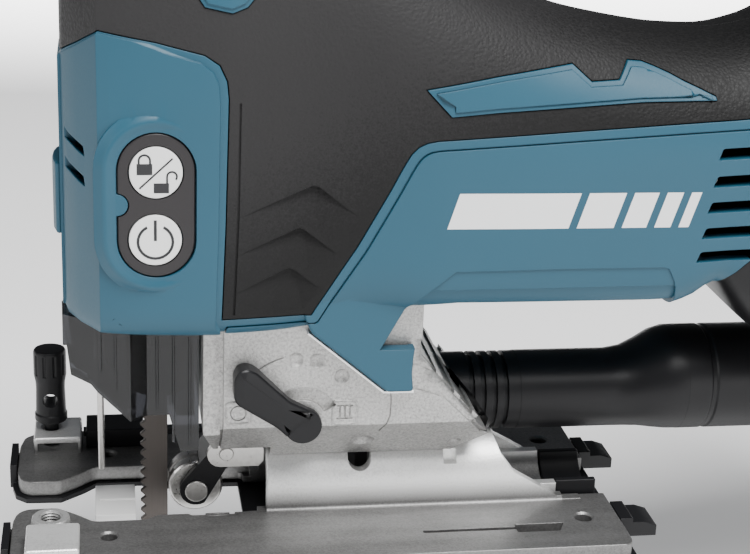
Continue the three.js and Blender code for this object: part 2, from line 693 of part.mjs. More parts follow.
function basePlate() {
  let solid = prismXY(basePlan(), plateBottom, plateTop);
  const humpOuter = rodAlongX(humpRadius, humpFront, humpRear, 0, tiltZ, 48)
    .add(box(humpFront, humpRear, -humpRadius, humpRadius, plateBottom, tiltZ))
    .subtract(box(-100, 100, -50, 50, -20, plateBottom));
  const cut = prismXZ([[31, 60], [31, 24], [36, 11], [60, 11], [60, 60]], -40, 40);
  solid = solid.add(humpOuter.subtract(cut));
  const inner = humpRadius - humpWall;
  const tunnel = rodAlongX(inner, -60, 60, 0, tiltZ, 48).add(box(-60, 60, -inner, inner, -20, tiltZ));
  solid = solid.subtract(tunnel.intersect(box(humpFront - 6, 70, -20, 20, plateBottom - 1, 40)));
  const trough = box(30.5, 48.7, -11.2, 11.2, plateBottom, 9.2)
    .subtract(rodAlongX(troughRadius, 20, 60, 0, troughZ, 40));
  solid = solid.add(trough);
  solid = solid.subtract(box(-7, -1, -20, 20, 11, 40));
  for (const side of [-1, 1]) {
    const low = side < 0 ? -38.4 : 24.5;
    const bridge = box(-87.6, -74.8, low, low + 13.9, plateTop - 1, 10.2);
    solid = solid.add(bridge);
    solid = solid.subtract(box(-86.6, -75.8, side < 0 ? -60 : 24, side < 0 ? -24 : 60, 5.4, 8.6));
    solid = solid.subtract(rodAlongZ(2.2, 0, 20, 53, side * 23.5, 20));
    solid = solid.subtract(rodAlongZ(2, 0, 20, -67.8, side * 23.6, 20));
  }
  solid = solid.add(coneAlongZ(5.2, 4.4, plateTop - 1, 8.4, -82, -17.5, 28));
  solid = solid.subtract(rodAlongZ(2.4, 0, 20, -82, -17.5, 20));
  solid = solid.subtract(rodAlongZ(2.4, 8, 20, -83, 32, 20));
  solid = solid.subtract(box(10, 34, -28.4, -27, 0, 10));
  solid = solid.subtract(box(34, 46, -29.4, -26, 0, 10));
  return solid;
}

function coverPlate() {
  const outline = growOutline(basePlan(), 1.4).map(([x, y]) => [x, y]);
  let solid = prismXY(outline, 0, 1.4);
  solid = solid.subtract(box(-60.6, -45, -10.6, 10.6, -5, 5));
  solid = solid.add(box(-93.6, baseFront - 0.3, -30, -16, 0, 6.5));
  solid = solid.add(box(-93.6, baseFront - 0.3, 16, 30, 0, 6.5));
  for (const side of [-1, 1]) {
    const y = side * 20;
    solid = solid.add(box(62.6, 72.5, y - 5, y + 5, 0, 4));
    solid = solid.add(box(62.6, 66, y - 5, y + 5, 3, 8.4));
    solid = solid.add(box(57, 66, y - 3, y + 3, 5.8, 8.4));
  }
  return solid.subtract(rodAlongZ(3, -5, 5, -4, 0, 6));
}

function splinterInsert() {
  return box(-71.2, -60.9, -8.6, 8.6, 1.7, 3.4).subtract(box(-70, -55, -0.5, 0.5, -5, 10));
}

addPart('base_plate', basePlate(), castGrey, 0.5, 0.7);
addPart('cover_plate', coverPlate(), black, 0.6);
addPart('anti_splinter_insert', splinterInsert(), white, 0.4);
addPart('bevel_stop', box(49, 60, -9.8, 9.8, 1.7, 9.2).subtract(rodAlongX(8.6, 40, 70, 0, troughZ, 32)), black, 0.6);

// clamp that holds the base at its tilt
function clampPlate() {
  const outline = [...arc(0, tiltZ, 10.3, 62, 118, 10), ...arc(0, tiltZ, 7.9, 118, 62, 10)];
  return prismYZ(outline, -15, 7).subtract(rodAlongZ(2.35, 0, 60, -4, 0, 20));
}

addPart('clamp_plate', clampPlate(), darkSteel, 0.4, 0.8);
addPart('clamp_bolt', rodAlongZ(2.2, 14, 34, -4, 0, 20).add(rodAlongZ(4, 12.2, 16.4, -4, 0, 6)), darkSteel, 0.4, 0.8);

// fence screw and the key clip on the far arm
function fenceScrew() {
  return rodAlongZ(2.3, 8.9, 14, -83, 32, 20)
    .add(coneAlongZ(4.3, 3.9, 12.6, 25, -83, 32, 20))
    .add(coneAlongZ(3.9, 4.4, 25, 33.4, -83, 32, 20))
    .subtract(rodAlongY(2, 20, 50, -83, 19.5, 20));
}

addPart('fence_screw', fenceScrew(), black, 0.5);
addPart('key_clip', box(-73.6, -58, 27, 37.6, plateTop + 0.2, 11)
  .subtract(rodAlongX(1.75, -80, -50, 32.4, 8.2, 12)), black, 0.6);
addPart('hex_key', rodAlongX(1.5, -74.4, -40, 32.4, 8.2, 6), darkSteel, 0.3, 0.9);

// dust outlet that plugs into the gear housing
function dustNozzle() {
  const tube = turnedAlongX([
    [22, 5.4], [22, 6.8], [36, 6.8], [37.4, 10.4], [78, 10.4], [78, 8.4], [38, 8.4], [36.4, 5.4], [22, 5.4],
  ], 0, nozzleZ);
  const throat = rodAlongX(10.4, 71, 73, 0, nozzleZ, 28);
  const shoulder = rodAlongX(14, 81, 82, 0, socketZ, 28);
  const throatBore = rodAlongX(8.4, 70, 74, 0, nozzleZ, 28);
  const shoulderBore = rodAlongX(12, 82, 84, 0, socketZ, 28);
  const flare = wasm.Manifold.hull([throat, shoulder]).subtract(wasm.Manifold.hull([throatBore, shoulderBore]));
  const socket = rodAlongX(14, 81.5, 118, 0, socketZ, 36).subtract(rodAlongX(12, 80, 120, 0, socketZ, 36));
  const overlap = rodAlongX(8.4, 60, 82, 0, nozzleZ, 28);
  return tube.subtract(box(73, 90, -20, 20, 10, 60)).add(flare).add(socket).subtract(overlap);
}

addPart('dust_nozzle', dustNozzle(), black, 0.55);

// battery pack on its rails
function batteryCase() {
  const outline = [
    ...arc(batteryFront + 2, batteryBottom + 2, 2, 180, 270, 3),
    ...arc(batteryRear - 8, batteryBottom + 8, 8, 270, 360, 6),
    ...arc(batteryRear - 8, batteryTop - 8, 8, 0, 90, 6),
    ...arc(batteryFront + 2, batteryTop - 2, 2, 90, 180, 3),
  ];
  const plan = [
    [batteryFront, -34], [batteryFront + 4, -batteryHalfWidth], [batteryRear - 6, -batteryHalfWidth],
    [batteryRear, -32], [batteryRear, 32], [batteryRear - 6, batteryHalfWidth],
    [batteryFront + 4, batteryHalfWidth], [batteryFront, 34],
  ];
  let solid = prismXZ(outline, -60, 60).intersect(prismXY(plan, 0, 300));
  solid = solid.subtract(box(130, rearFace + 3, -20.6, 20.6, 40, 151));
  solid = solid.subtract(box(rearFace + 2.4, rearFace + 7, -24.6, 24.6, 40, 151));
  solid = solid.subtract(box(rearFace + 6, rearFace + 12, -14, 14, 88, 112));
  return solid.subtract(box(149, 163, -10, 10, batteryTop - 5, batteryTop + 5));
}

addPart('battery_case', batteryCase(), black, 0.6);
addPart('battery_latch', box(149.5, 162.5, -9.5, 9.5, batteryTop - 2.4, batteryTop + 1.6), softBlack, 0.6);
addPart('terminal_block', box(132, 145.6, -11.4, 11.4, 90.6, 109.4), black, 0.5);
addPart('controller_board', box(102, 126, -26, 26, 70, 73), green, 0.6);

// clamshell screws on the right side
for (const [i, [x, y, z]] of screwPlaces.entries()) {
  const screw = rodAlongY(3.2, y + 0.2, y + 2, x, z, 20).subtract(rodAlongY(1.5, y + 0.9, y + 4, x, z, 6));
  addPart(`housing_screw_${i + 1}`, screw, darkSteel, 0.4, 0.8);
}

export default group;
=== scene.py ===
import math
import bmesh
import bpy
from mathutils import Matrix, Vector


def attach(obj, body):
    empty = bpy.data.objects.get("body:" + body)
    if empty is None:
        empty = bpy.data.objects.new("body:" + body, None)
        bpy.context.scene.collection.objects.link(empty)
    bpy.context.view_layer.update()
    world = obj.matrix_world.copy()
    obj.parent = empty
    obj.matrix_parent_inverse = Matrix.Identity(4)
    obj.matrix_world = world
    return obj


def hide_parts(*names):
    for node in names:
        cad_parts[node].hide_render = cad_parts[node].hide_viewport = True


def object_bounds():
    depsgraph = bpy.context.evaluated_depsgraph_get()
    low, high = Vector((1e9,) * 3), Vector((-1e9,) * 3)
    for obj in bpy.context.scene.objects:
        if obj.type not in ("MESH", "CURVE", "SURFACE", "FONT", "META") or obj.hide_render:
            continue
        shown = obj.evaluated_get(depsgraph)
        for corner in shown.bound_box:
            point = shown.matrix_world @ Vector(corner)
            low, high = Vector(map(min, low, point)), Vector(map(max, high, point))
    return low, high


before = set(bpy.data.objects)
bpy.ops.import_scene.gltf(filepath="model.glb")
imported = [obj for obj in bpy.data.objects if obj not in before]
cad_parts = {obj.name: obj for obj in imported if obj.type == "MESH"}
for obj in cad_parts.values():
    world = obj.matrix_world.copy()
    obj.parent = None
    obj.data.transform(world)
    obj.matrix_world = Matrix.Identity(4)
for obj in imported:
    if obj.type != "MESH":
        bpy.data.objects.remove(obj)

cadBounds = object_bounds()
mm = 0.001


# ---- camera, lights and floor

camera = {
    "place": (-67.23, -389.63, 201.65), "lens": 79.0,
    "yaw": 9.79, "pitch": 19.24, "roll": 2.33,
}

def aimCamera():
    yaw, pitch, roll = (math.radians(camera[k]) for k in ("yaw", "pitch", "roll"))
    look = Vector((math.sin(yaw) * math.cos(pitch), math.cos(yaw) * math.cos(pitch), -math.sin(pitch)))
    right = Vector((math.cos(yaw), -math.sin(yaw), 0))
    down = look.cross(right)
    rightTurned = right * math.cos(roll) - down * math.sin(roll)
    downTurned = right * math.sin(roll) + down * math.cos(roll)
    data = bpy.data.cameras.new("camera")
    data.lens = camera["lens"]
    data.sensor_width = 36
    data.clip_start = 0.01
    data.clip_end = 20
    obj = bpy.data.objects.new("camera", data)
    turn = Matrix((rightTurned, -downTurned, -look)).transposed().to_4x4()
    obj.matrix_world = Matrix.Translation(Vector(camera["place"]) * mm) @ turn
    bpy.context.scene.collection.objects.link(obj)
    bpy.context.scene.camera = obj

lamps = {
    "overhead": {"place": (0.25, -0.75, 1.6), "size": 0.9, "watts": 64, "aim": (0.0, 0.0, 0.06)},
    "left": {"place": (-1.6, -0.9, 0.75), "size": 0.6, "watts": 8, "aim": (0.0, 0.0, 0.08)},
    "front": {"place": (1.0, -1.7, 0.12), "size": 0.7, "watts": 9, "aim": (0.0, 0.0, 0.06)},
    "backdrop": {"place": (0.2, 1.3, 1.1), "size": 1.8, "watts": 150, "aim": (0.3, 3.4, -0.05)},
}

def addLamps():
    for name, lamp in lamps.items():
        data = bpy.data.lights.new(name, "AREA")
        data.size = lamp["size"]
        data.energy = lamp["watts"]
        obj = bpy.data.objects.new(name, data)
        obj.location = lamp["place"]
        obj.rotation_euler = (Vector(lamp["aim"]) - Vector(lamp["place"])).to_track_quat("-Z", "Y").to_euler()
        bpy.context.scene.collection.objects.link(obj)
    world = bpy.data.worlds.new("studio")
    world.use_nodes = True
    world.node_tree.nodes["Background"].inputs["Color"].default_value = (0.9, 0.93, 1.0, 1)
    world.node_tree.nodes["Background"].inputs["Strength"].default_value = 0.1
    bpy.context.scene.world = world


# ---- shader helpers

class Field:
    # a socket that can be used in sums
    def __init__(self, surface, socket):
        self.surface = surface
        self.socket = socket

    def maths(self, operation, a, b):
        return self.surface.node("ShaderNodeMath", {0: a, 1: b}, operation=operation)

    def __add__(self, other):
        return self.maths("ADD", self, other)

    def __sub__(self, other):
        return self.maths("SUBTRACT", self, other)

    def __mul__(self, other):
        return self.maths("MULTIPLY", self, other)

    def __gt__(self, other):
        return self.maths("GREATER_THAN", self, other)

    def __lt__(self, other):
        return self.maths("LESS_THAN", self, other)

    def __rsub__(self, other):
        return self.maths("SUBTRACT", other, self)

    __radd__ = __add__
    __rmul__ = __mul__


class Surface:
    # one material and the nodes it is built from
    def __init__(self, name, color, roughness, metallic=0.0, **constants):
        self.material = bpy.data.materials.new(name)
        self.material.use_nodes = True
        self.tree = self.material.node_tree
        self.shader = self.tree.nodes["Principled BSDF"]
        self.color = color
        self.set("Base Color", (*color, 1))
        self.set("Roughness", roughness)
        self.set("Metallic", metallic)
        for key, value in constants.items():
            self.set(key.replace("_", " "), value)
        self.place = self.node("ShaderNodeTexCoord", output="Object")

    def set(self, key, value):
        if isinstance(value, Field):
            self.tree.links.new(value.socket, self.shader.inputs[key])
        else:
            self.shader.inputs[key].default_value = value

    def node(self, kind, inputs=None, output=0, stops=None, **settings):
        made = self.tree.nodes.new(kind)
        for key, value in settings.items():
            setattr(made, key, value)
        if stops:
            ramp = made.color_ramp
            while len(ramp.elements) < len(stops):
                ramp.elements.new(0.5)
            for element, (position, value) in zip(ramp.elements, stops):
                element.position = position
                element.color = (*value, 1) if isinstance(value, tuple) else (value, value, value, 1)
        for key, value in (inputs or {}).items():
            if isinstance(value, Field):
                self.tree.links.new(value.socket, made.inputs[key])
            else:
                made.inputs[key].default_value = value
        return Field(self, made.outputs[output])

    def stretched(self, scale):
        return self.node("ShaderNodeMapping", {"Vector": self.place, "Scale": scale})

    def noise(self, scale, detail=3.0, roughness=0.55, vector=None):
        return self.node("ShaderNodeTexNoise", {
            "Vector": vector or self.place, "Scale": scale, "Detail": detail, "Roughness": roughness,
        }, output="Fac")

    def cells(self, scale):
        return self.node("ShaderNodeTexVoronoi", {"Vector": self.place, "Scale": scale}, output="Distance")

    def axes(self):
        split = self.tree.nodes.new("ShaderNodeSeparateXYZ")
        self.tree.links.new(self.place.socket, split.inputs[0])
        return [Field(self, split.outputs[i]) for i in range(3)]

    def ramp(self, field, stops):
        return self.node("ShaderNodeValToRGB", {"Fac": field}, output="Color", stops=stops)

    def blend(self, factor, a, b):
        mix = self.tree.nodes.new("ShaderNodeMix")
        mix.data_type = "RGBA"
        for index, value in ((0, factor), (6, a), (7, b)):
            if isinstance(value, Field):
                self.tree.links.new(value.socket, mix.inputs[index])
            elif index == 0:
                mix.inputs[index].default_value = value
            else:
                mix.inputs[index].default_value = (*value, 1)
        return Field(self, mix.outputs[2])

    def relief(self, height, strength, distance, edge=0.0):
        inputs = {"Height": height, "Strength": strength, "Distance": distance * mm}
        if edge:
            inputs["Normal"] = self.node("ShaderNodeBevel", {"Radius": edge * mm}, samples=4)
        self.set("Normal", self.node("ShaderNodeBump", inputs))


def tinted(color, factor):
    return tuple(min(1.0, c * factor) for c in color)

def mouldedPlastic(name, color, roughness, grain=1500, depth=0.05, edge=0.3, spread=0.08, **constants):
    surface = Surface(name, color, roughness, **constants)
    fine = surface.noise(grain, 2.0)
    broad = surface.noise(28, 3.0)
    surface.set("Base Color", surface.blend(broad, tinted(color, 1 - spread), tinted(color, 1 + spread)))
    surface.set("Roughness", broad * 0.12 + fine * 0.08 + (roughness - 0.1))
    surface.relief(fine, 0.35, depth, edge)
    return surface.material

def softRubber(name, color, roughness):
    surface = Surface(name, color, roughness, Specular_IOR_Level=0.26)
    pebbles = surface.cells(1150)
    fine = surface.noise(2400, 2.0)
    broad = surface.noise(35, 4.0)
    # the tone deepens towards the bottom and the rear, which stands in for shade under soft light
    axes = surface.axes()
    height = axes[2] * 5.5 - axes[0] * 3.0 + fine * 0.22 + pebbles * 0.08 + broad * 0.06 - 0.18
    tones = [(0.38, 0.06), (0.54, 0.36), (0.66, 1.0), (0.92, 1.35)]
    surface.set("Base Color", surface.ramp(height, [(at, tinted(color, share)) for at, share in tones]))
    surface.set("Roughness", pebbles * 0.16 + broad * 0.1 + (roughness - 0.12))
    surface.relief(pebbles * 0.7 + fine * 0.5, 0.8, 0.13, 0.35)
    return surface.material

def tealPlastic(name, color, graphic):
    surface = Surface(name, color, 0.42, Specular_IOR_Level=0.4)
    fine = surface.noise(1700, 2.0)
    broad = surface.noise(22, 3.0)
    base = surface.blend(broad, tinted(color, 0.93), tinted(color, 1.07))
    if graphic:
        x, z = surface.axes()[::2]
        lean = x - z * graphic["lean"]
        inside = (z > graphic["low"] * mm) * (z < graphic["high"] * mm)
        bars = None
        for start, end in graphic["bars"]:
            bar = (lean > start * mm) * (lean < end * mm)
            bars = bar if bars is None else bars + bar
        base = surface.blend(inside * bars, base, (0.82, 0.83, 0.83))
    surface.set("Base Color", base)
    surface.set("Roughness", broad * 0.1 + fine * 0.1 + 0.36)
    surface.relief(fine, 0.3, 0.045, 0.35)
    return surface.material

def castMetal(name, color, roughness, grain, depth, metallic=0.85, streak=None, crest=None):
    surface = Surface(name, color, roughness, metallic)
    sand = surface.noise(grain, 4.0, 0.7)
    broad = surface.noise(60, 4.0)
    tone = sand * 0.75 + broad * 0.25
    if streak:
        tone = tone * 0.7 + surface.noise(1.0, 3.0, 0.6, surface.stretched(streak)) * 0.3
    stops = [(0.36, 0.62), (0.5, 1.0), (0.64, 1.3)]
    paint = surface.ramp(tone, [(at, tinted(color, share)) for at, share in stops])
    if crest:
        # faces above the plate get a paler tone, which stands in for the light they catch
        low, high, bright = crest
        rise = (surface.axes()[2] - low * mm) * (1 / ((high - low) * mm))
        pale = surface.ramp(tone, [(at, tinted(bright, 0.55 + share * 0.45)) for at, share in stops])
        paint = surface.blend(surface.ramp(rise, [(0.0, 0.0), (1.0, 1.0)]), paint, pale)
    surface.set("Base Color", paint)
    surface.set("Roughness", sand * 0.2 + broad * 0.12 + (roughness - 0.16))
    surface.relief(sand, 0.9, depth, 0.3)
    return surface.material

def brushedSteel(name, color, roughness, stretch, metallic=0.95):
    surface = Surface(name, color, roughness, metallic)
    lines = surface.noise(1.0, 3.0, 0.6, surface.stretched(stretch))
    stains = surface.noise(90, 3.0)
    mottle = lines * 0.7 + stains * 0.3
    surface.set("Base Color", surface.blend(mottle, tinted(color, 0.72), tinted(color, 1.2)))
    surface.set("Roughness", lines * 0.2 + stains * 0.1 + (roughness - 0.14))
    surface.relief(lines, 0.3, 0.03, 0.2)
    return surface.material

def laminations(name):
    surface = Surface(name, (0.32, 0.3, 0.29), 0.4, 0.8)
    inputs = {"Vector": surface.place, "Scale": 900, "Distortion": 0.4}
    sheets = surface.node("ShaderNodeTexWave", inputs, output="Fac")
    surface.set("Base Color", surface.blend(sheets, (0.2, 0.19, 0.18), (0.42, 0.4, 0.39)))
    surface.set("Roughness", sheets * 0.25 + 0.3)
    surface.relief(sheets, 0.4, 0.06)
    return surface.material

def smokedClear(name):
    surface = Surface(name, (0.3, 0.31, 0.34), 0.06, Transmission_Weight=0.92, IOR=1.45)
    haze = surface.noise(70, 3.0)
    surface.set("Base Color", surface.blend(haze, (0.02, 0.021, 0.026), (0.05, 0.052, 0.06)))
    surface.set("Roughness", haze * 0.1 + 0.02)
    surface.relief(surface.noise(160, 2.0), 0.12, 0.1)
    return surface.material

def circuitBoard(name):
    surface = Surface(name, (0.02, 0.12, 0.05), 0.35)
    tracks = surface.cells(420)
    copper, lacquer, resist = (0.5, 0.36, 0.1), (0.02, 0.1, 0.04), (0.03, 0.16, 0.07)
    surface.set("Base Color", surface.ramp(tracks, [(0.0, copper), (0.18, lacquer), (1.0, resist)]))
    surface.set("Roughness", tracks * 0.2 + 0.25)
    surface.relief(tracks, 0.2, 0.05)
    return surface.material

graphic = {
    "lean": 0.3, "low": 86.6, "high": 95.2,
    "bars": [(-15, 14), (16, 25), (27, 33), (35, 39), (41, 43.5)],
}
tealColor = (0.014, 0.075, 0.118)

finishes = {
    "teal_plastic": tealPlastic("teal_plastic", tealColor, None),
    "teal_printed": tealPlastic("teal_printed", tealColor, graphic),
    "soft_grip": softRubber("soft_grip", (0.0165, 0.016, 0.0165), 0.57),
    "black_plastic": mouldedPlastic("black_plastic", (0.008, 0.008, 0.009), 0.4, Specular_IOR_Level=0.24),
    "panel_plastic": mouldedPlastic("panel_plastic", (0.011, 0.009, 0.01), 0.45, 2200, 0.02),
    "cast_aluminium": castMetal("cast_aluminium", (0.44, 0.435, 0.425), 0.46, 1500, 0.16, 0.75),
    "smooth_aluminium": castMetal(
        "smooth_aluminium", (0.2, 0.198, 0.195), 0.4, 1700, 0.08, 0.7,
        streak=(20, 160, 160), crest=(6.5, 10.5, (1.0, 1.0, 0.985))),
    "bright_steel": brushedSteel("bright_steel", (0.6, 0.59, 0.57), 0.3, (900, 60, 900)),
    "blade_steel": brushedSteel("blade_steel", (0.08, 0.07, 0.064), 0.45, (2600, 2600, 60), 0.6),
    "dark_steel": brushedSteel("dark_steel", (0.09, 0.09, 0.092), 0.4, (700, 700, 90), 0.7),
    "bronze": brushedSteel("bronze", (0.42, 0.27, 0.12), 0.35, (700, 700, 90)),
    "motor_steel": laminations("motor_steel"),
    "white_plastic": mouldedPlastic("white_plastic", (0.8, 0.8, 0.79), 0.38, 1600, 0.03, 0.3, 0.03),
    "clear_plastic": smokedClear("clear_plastic"),
    "circuit_board": circuitBoard("circuit_board"),
    "lamp_lens": mouldedPlastic("lamp_lens", (0.75, 0.78, 0.8), 0.15, 900, 0.03),
    "ink": mouldedPlastic("ink", (0.012, 0.012, 0.014), 0.5, 1500, 0.01, 0.0),
}
print("materials ready")


# ---- shape helpers, all in millimetres until a piece is finished

def toMesh(bm):
    bmesh.ops.recalc_face_normals(bm, faces=bm.faces)
    mesh = bpy.data.meshes.new("work")
    bm.to_mesh(mesh)
    bm.free()
    return mesh

def combine(mesh, tools, operation="DIFFERENCE"):
    scene = bpy.context.scene.collection
    base = bpy.data.objects.new("work", mesh)
    scene.objects.link(base)
    helpers = []
    for tool in tools:
        helper = bpy.data.objects.new("tool", tool)
        scene.objects.link(helper)
        helpers.append(helper)
        cut = base.modifiers.new("cut", "BOOLEAN")
        cut.operation = operation
        cut.object = helper
        cut.solver = "MANIFOLD"
    bpy.context.view_layer.update()
    graph = bpy.context.evaluated_depsgraph_get()
    result = bpy.data.meshes.new_from_object(base.evaluated_get(graph))
    for obj in [base, *helpers]:
        bpy.data.objects.remove(obj)
    return result

def cut(mesh, *tools):
    return combine(mesh, tools)

def join(mesh, *tools):
    return combine(mesh, tools, "UNION")

def common(mesh, *tools):
    return combine(mesh, tools, "INTERSECT")

axisTurns = {
    "Y": lambda a, b, depth: Vector((a, depth, b)),
    "Z": lambda a, b, depth: Vector((a, b, depth)),
    "X": lambda a, b, depth: Vector((depth, a, b)),
}

def outlineFace(bm, points, depth, axis, rounding=0.0, segments=4):
    place = axisTurns[axis]
    face = bm.faces.new([bm.verts.new(place(a, b, depth)) for a, b in points])
    if rounding:
        bmesh.ops.bevel(bm, geom=list(face.verts), affect="VERTICES", offset=rounding,
                        segments=segments, profile=0.5, material=-1, clamp_overlap=True)
    return list(bm.faces)[0]

def prism(points, low, high, axis="Y", rounding=0.0, segments=4, edge=0.0, edgeSegments=3, both=True):
    bm = bmesh.new()
    face = outlineFace(bm, points, low, axis, rounding, segments)
    grown = bmesh.ops.extrude_face_region(bm, geom=[face])
    moved = [v for v in grown["geom"] if isinstance(v, bmesh.types.BMVert)]
    bmesh.ops.translate(bm, verts=moved, vec=axisTurns[axis](0, 0, high - low))
    if edge:
        index = {"X": 0, "Y": 1, "Z": 2}[axis]
        ends = [high] if not both else [low, high]
        rims = []
        for end in ends:
            rims += [e for e in bm.edges if all(abs(v.co[index] - end) < 1e-4 for v in e.verts)]
        bmesh.ops.bevel(bm, geom=rims, affect="EDGES", offset=edge, segments=edgeSegments,
                        profile=0.5, material=-1, clamp_overlap=True)
    return toMesh(bm)

def tapered(points, steps, low):
    # a plug along Y from low, whose rim follows steps of (inset, advance)
    bm = bmesh.new()
    face = outlineFace(bm, points, low, "Y")
    grown = bmesh.ops.extrude_face_region(bm, geom=[face])
    top = [f for f in grown["geom"] if isinstance(f, bmesh.types.BMFace)][0]
    first = steps[0][1]
    bmesh.ops.translate(bm, verts=list(top.verts), vec=(0, first, 0))
    for inset, advance in steps[1:]:
        bmesh.ops.inset_region(bm, faces=[top], thickness=inset, use_even_offset=True, use_boundary=True)
        bmesh.ops.translate(bm, verts=list(top.verts), vec=(0, advance, 0))
    return toMesh(bm)

def block(x0, x1, y0, y1, z0, z1, edge=0.0, segments=3):
    bm = bmesh.new()
    bmesh.ops.create_cube(bm, size=1)
    bmesh.ops.scale(bm, verts=bm.verts, vec=(x1 - x0, y1 - y0, z1 - z0))
    bmesh.ops.translate(bm, verts=bm.verts, vec=((x0 + x1) / 2, (y0 + y1) / 2, (z0 + z1) / 2))
    if edge:
        bmesh.ops.bevel(bm, geom=list(bm.edges), affect="EDGES", offset=edge, segments=segments,
                        profile=0.5, material=-1, clamp_overlap=True)
    return toMesh(bm)

quarter = math.pi / 2
turnFromZ = {
    "X": Matrix.Rotation(quarter, 4, "Y"), "Y": Matrix.Rotation(-quarter, 4, "X"), "Z": Matrix.Identity(4),
}

def laidAlong(bm, axis, centre):
    # a shape made about Z is turned to an axis and moved to its centre
    a, b = centre
    bmesh.ops.transform(bm, matrix=turnFromZ[axis], verts=bm.verts)
    bmesh.ops.translate(bm, verts=bm.verts, vec=axisTurns[axis](a, b, 0))
    return toMesh(bm)

def rod(radius, start, end, axis, centre, segments=48, edge=0.0, tip=None):
    # a round bar whose centre is given in the two other axes
    bm = bmesh.new()
    bmesh.ops.create_cone(bm, cap_ends=True, segments=segments, radius1=radius,
                          radius2=radius if tip is None else tip, depth=end - start)
    if edge:
        rims = [e for e in bm.edges if abs(e.verts[0].co.z - e.verts[1].co.z) < 1e-5]
        bmesh.ops.bevel(bm, geom=rims, affect="EDGES", offset=edge, segments=3, profile=0.5,
                        material=-1, clamp_overlap=True)
    bmesh.ops.translate(bm, verts=bm.verts, vec=(0, 0, (start + end) / 2))
    return laidAlong(bm, axis, centre)

def turned(profile, axis, centre, segments=64):
    # spins a profile of (along, radius) about the axis
    bm = bmesh.new()
    verts = [bm.verts.new((radius, 0, along)) for along, radius in profile]
    edges = [bm.edges.new(pair) for pair in zip(verts, verts[1:])]
    bmesh.ops.spin(bm, geom=verts + edges, cent=(0, 0, 0), axis=(0, 0, 1), angle=2 * math.pi,
                   steps=segments, use_merge=True)
    bmesh.ops.remove_doubles(bm, verts=bm.verts, dist=1e-4)
    return laidAlong(bm, axis, centre)

def grown(points, distance):
    following = points[1:] + points[:1]
    area = sum(x * nextY - nextX * y for (x, y), (nextX, nextY) in zip(points, following))
    side = 1 if area > 0 else -1
    moved = []
    for i, (x, y) in enumerate(points):
        px, py = points[i - 1]
        nx, ny = points[(i + 1) % len(points)]
        before = Vector((y - py, px - x)).normalized()
        after = Vector((ny - y, x - nx)).normalized()
        total = before + after
        scale = 2 * side * distance / max(total.length_squared, 0.8)
        moved.append((x + total.x * scale, y + total.y * scale))
    return moved

def stadium(centreX, low, high, radius, steps=16):
    points = []
    for centreZ, start in ((high - radius, 0), (low + radius, math.pi)):
        for i in range(steps + 1):
            turn = start + math.pi * i / steps
            points.append((centreX + radius * math.cos(turn), centreZ + radius * math.sin(turn)))
    return points

def cadCopy(node):
    # the frame's own shape, with its flat faces merged again
    mergeDistance, flatAngle = 0.002, 1.5
    source = bpy.data.objects[node]
    bm = bmesh.new()
    bm.from_mesh(source.data)
    bmesh.ops.scale(bm, verts=bm.verts, vec=(1000, 1000, 1000))
    bmesh.ops.remove_doubles(bm, verts=bm.verts, dist=mergeDistance)
    bmesh.ops.dissolve_limit(bm, angle_limit=math.radians(flatAngle), verts=bm.verts, edges=bm.edges)
    mesh = bpy.data.meshes.new("work")
    bm.to_mesh(mesh)
    bm.free()
    return mesh

def finish(name, mesh, body, finishName, nodes=(), sharp=32, bevel=0.0, weighted=True):
    bm = bmesh.new()
    bm.from_mesh(mesh)
    bmesh.ops.remove_doubles(bm, verts=bm.verts, dist=0.0005)
    bmesh.ops.scale(bm, verts=bm.verts, vec=(mm, mm, mm))
    for face in bm.faces:
        face.smooth = True
        face.material_index = 0
    done = bpy.data.meshes.new(name)
    bm.to_mesh(done)
    bm.free()
    done.materials.clear()
    done.materials.append(finishes[finishName])
    done.set_sharp_from_angle(angle=math.radians(sharp))
    obj = bpy.data.objects.new(name, done)
    bpy.context.scene.collection.objects.link(obj)
    if bevel:
        rounding = obj.modifiers.new("edges", "BEVEL")
        rounding.width = bevel * mm
        rounding.segments = 2
        rounding.limit_method = "ANGLE"
        rounding.angle_limit = math.radians(35)
        rounding.harden_normals = True
    elif weighted:
        weight = obj.modifiers.new("normals", "WEIGHTED_NORMAL")
        weight.keep_sharp = True
    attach(obj, body)
    if nodes:
        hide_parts(*nodes)
    return obj

def refined(node, body, finishName, bevel, **options):
    return finish(node + "_piece", cadCopy(node), body, finishName, (node,), bevel=bevel, **options)


# ---- the body's surface: x, top, bottom, half width, top and bottom roundness

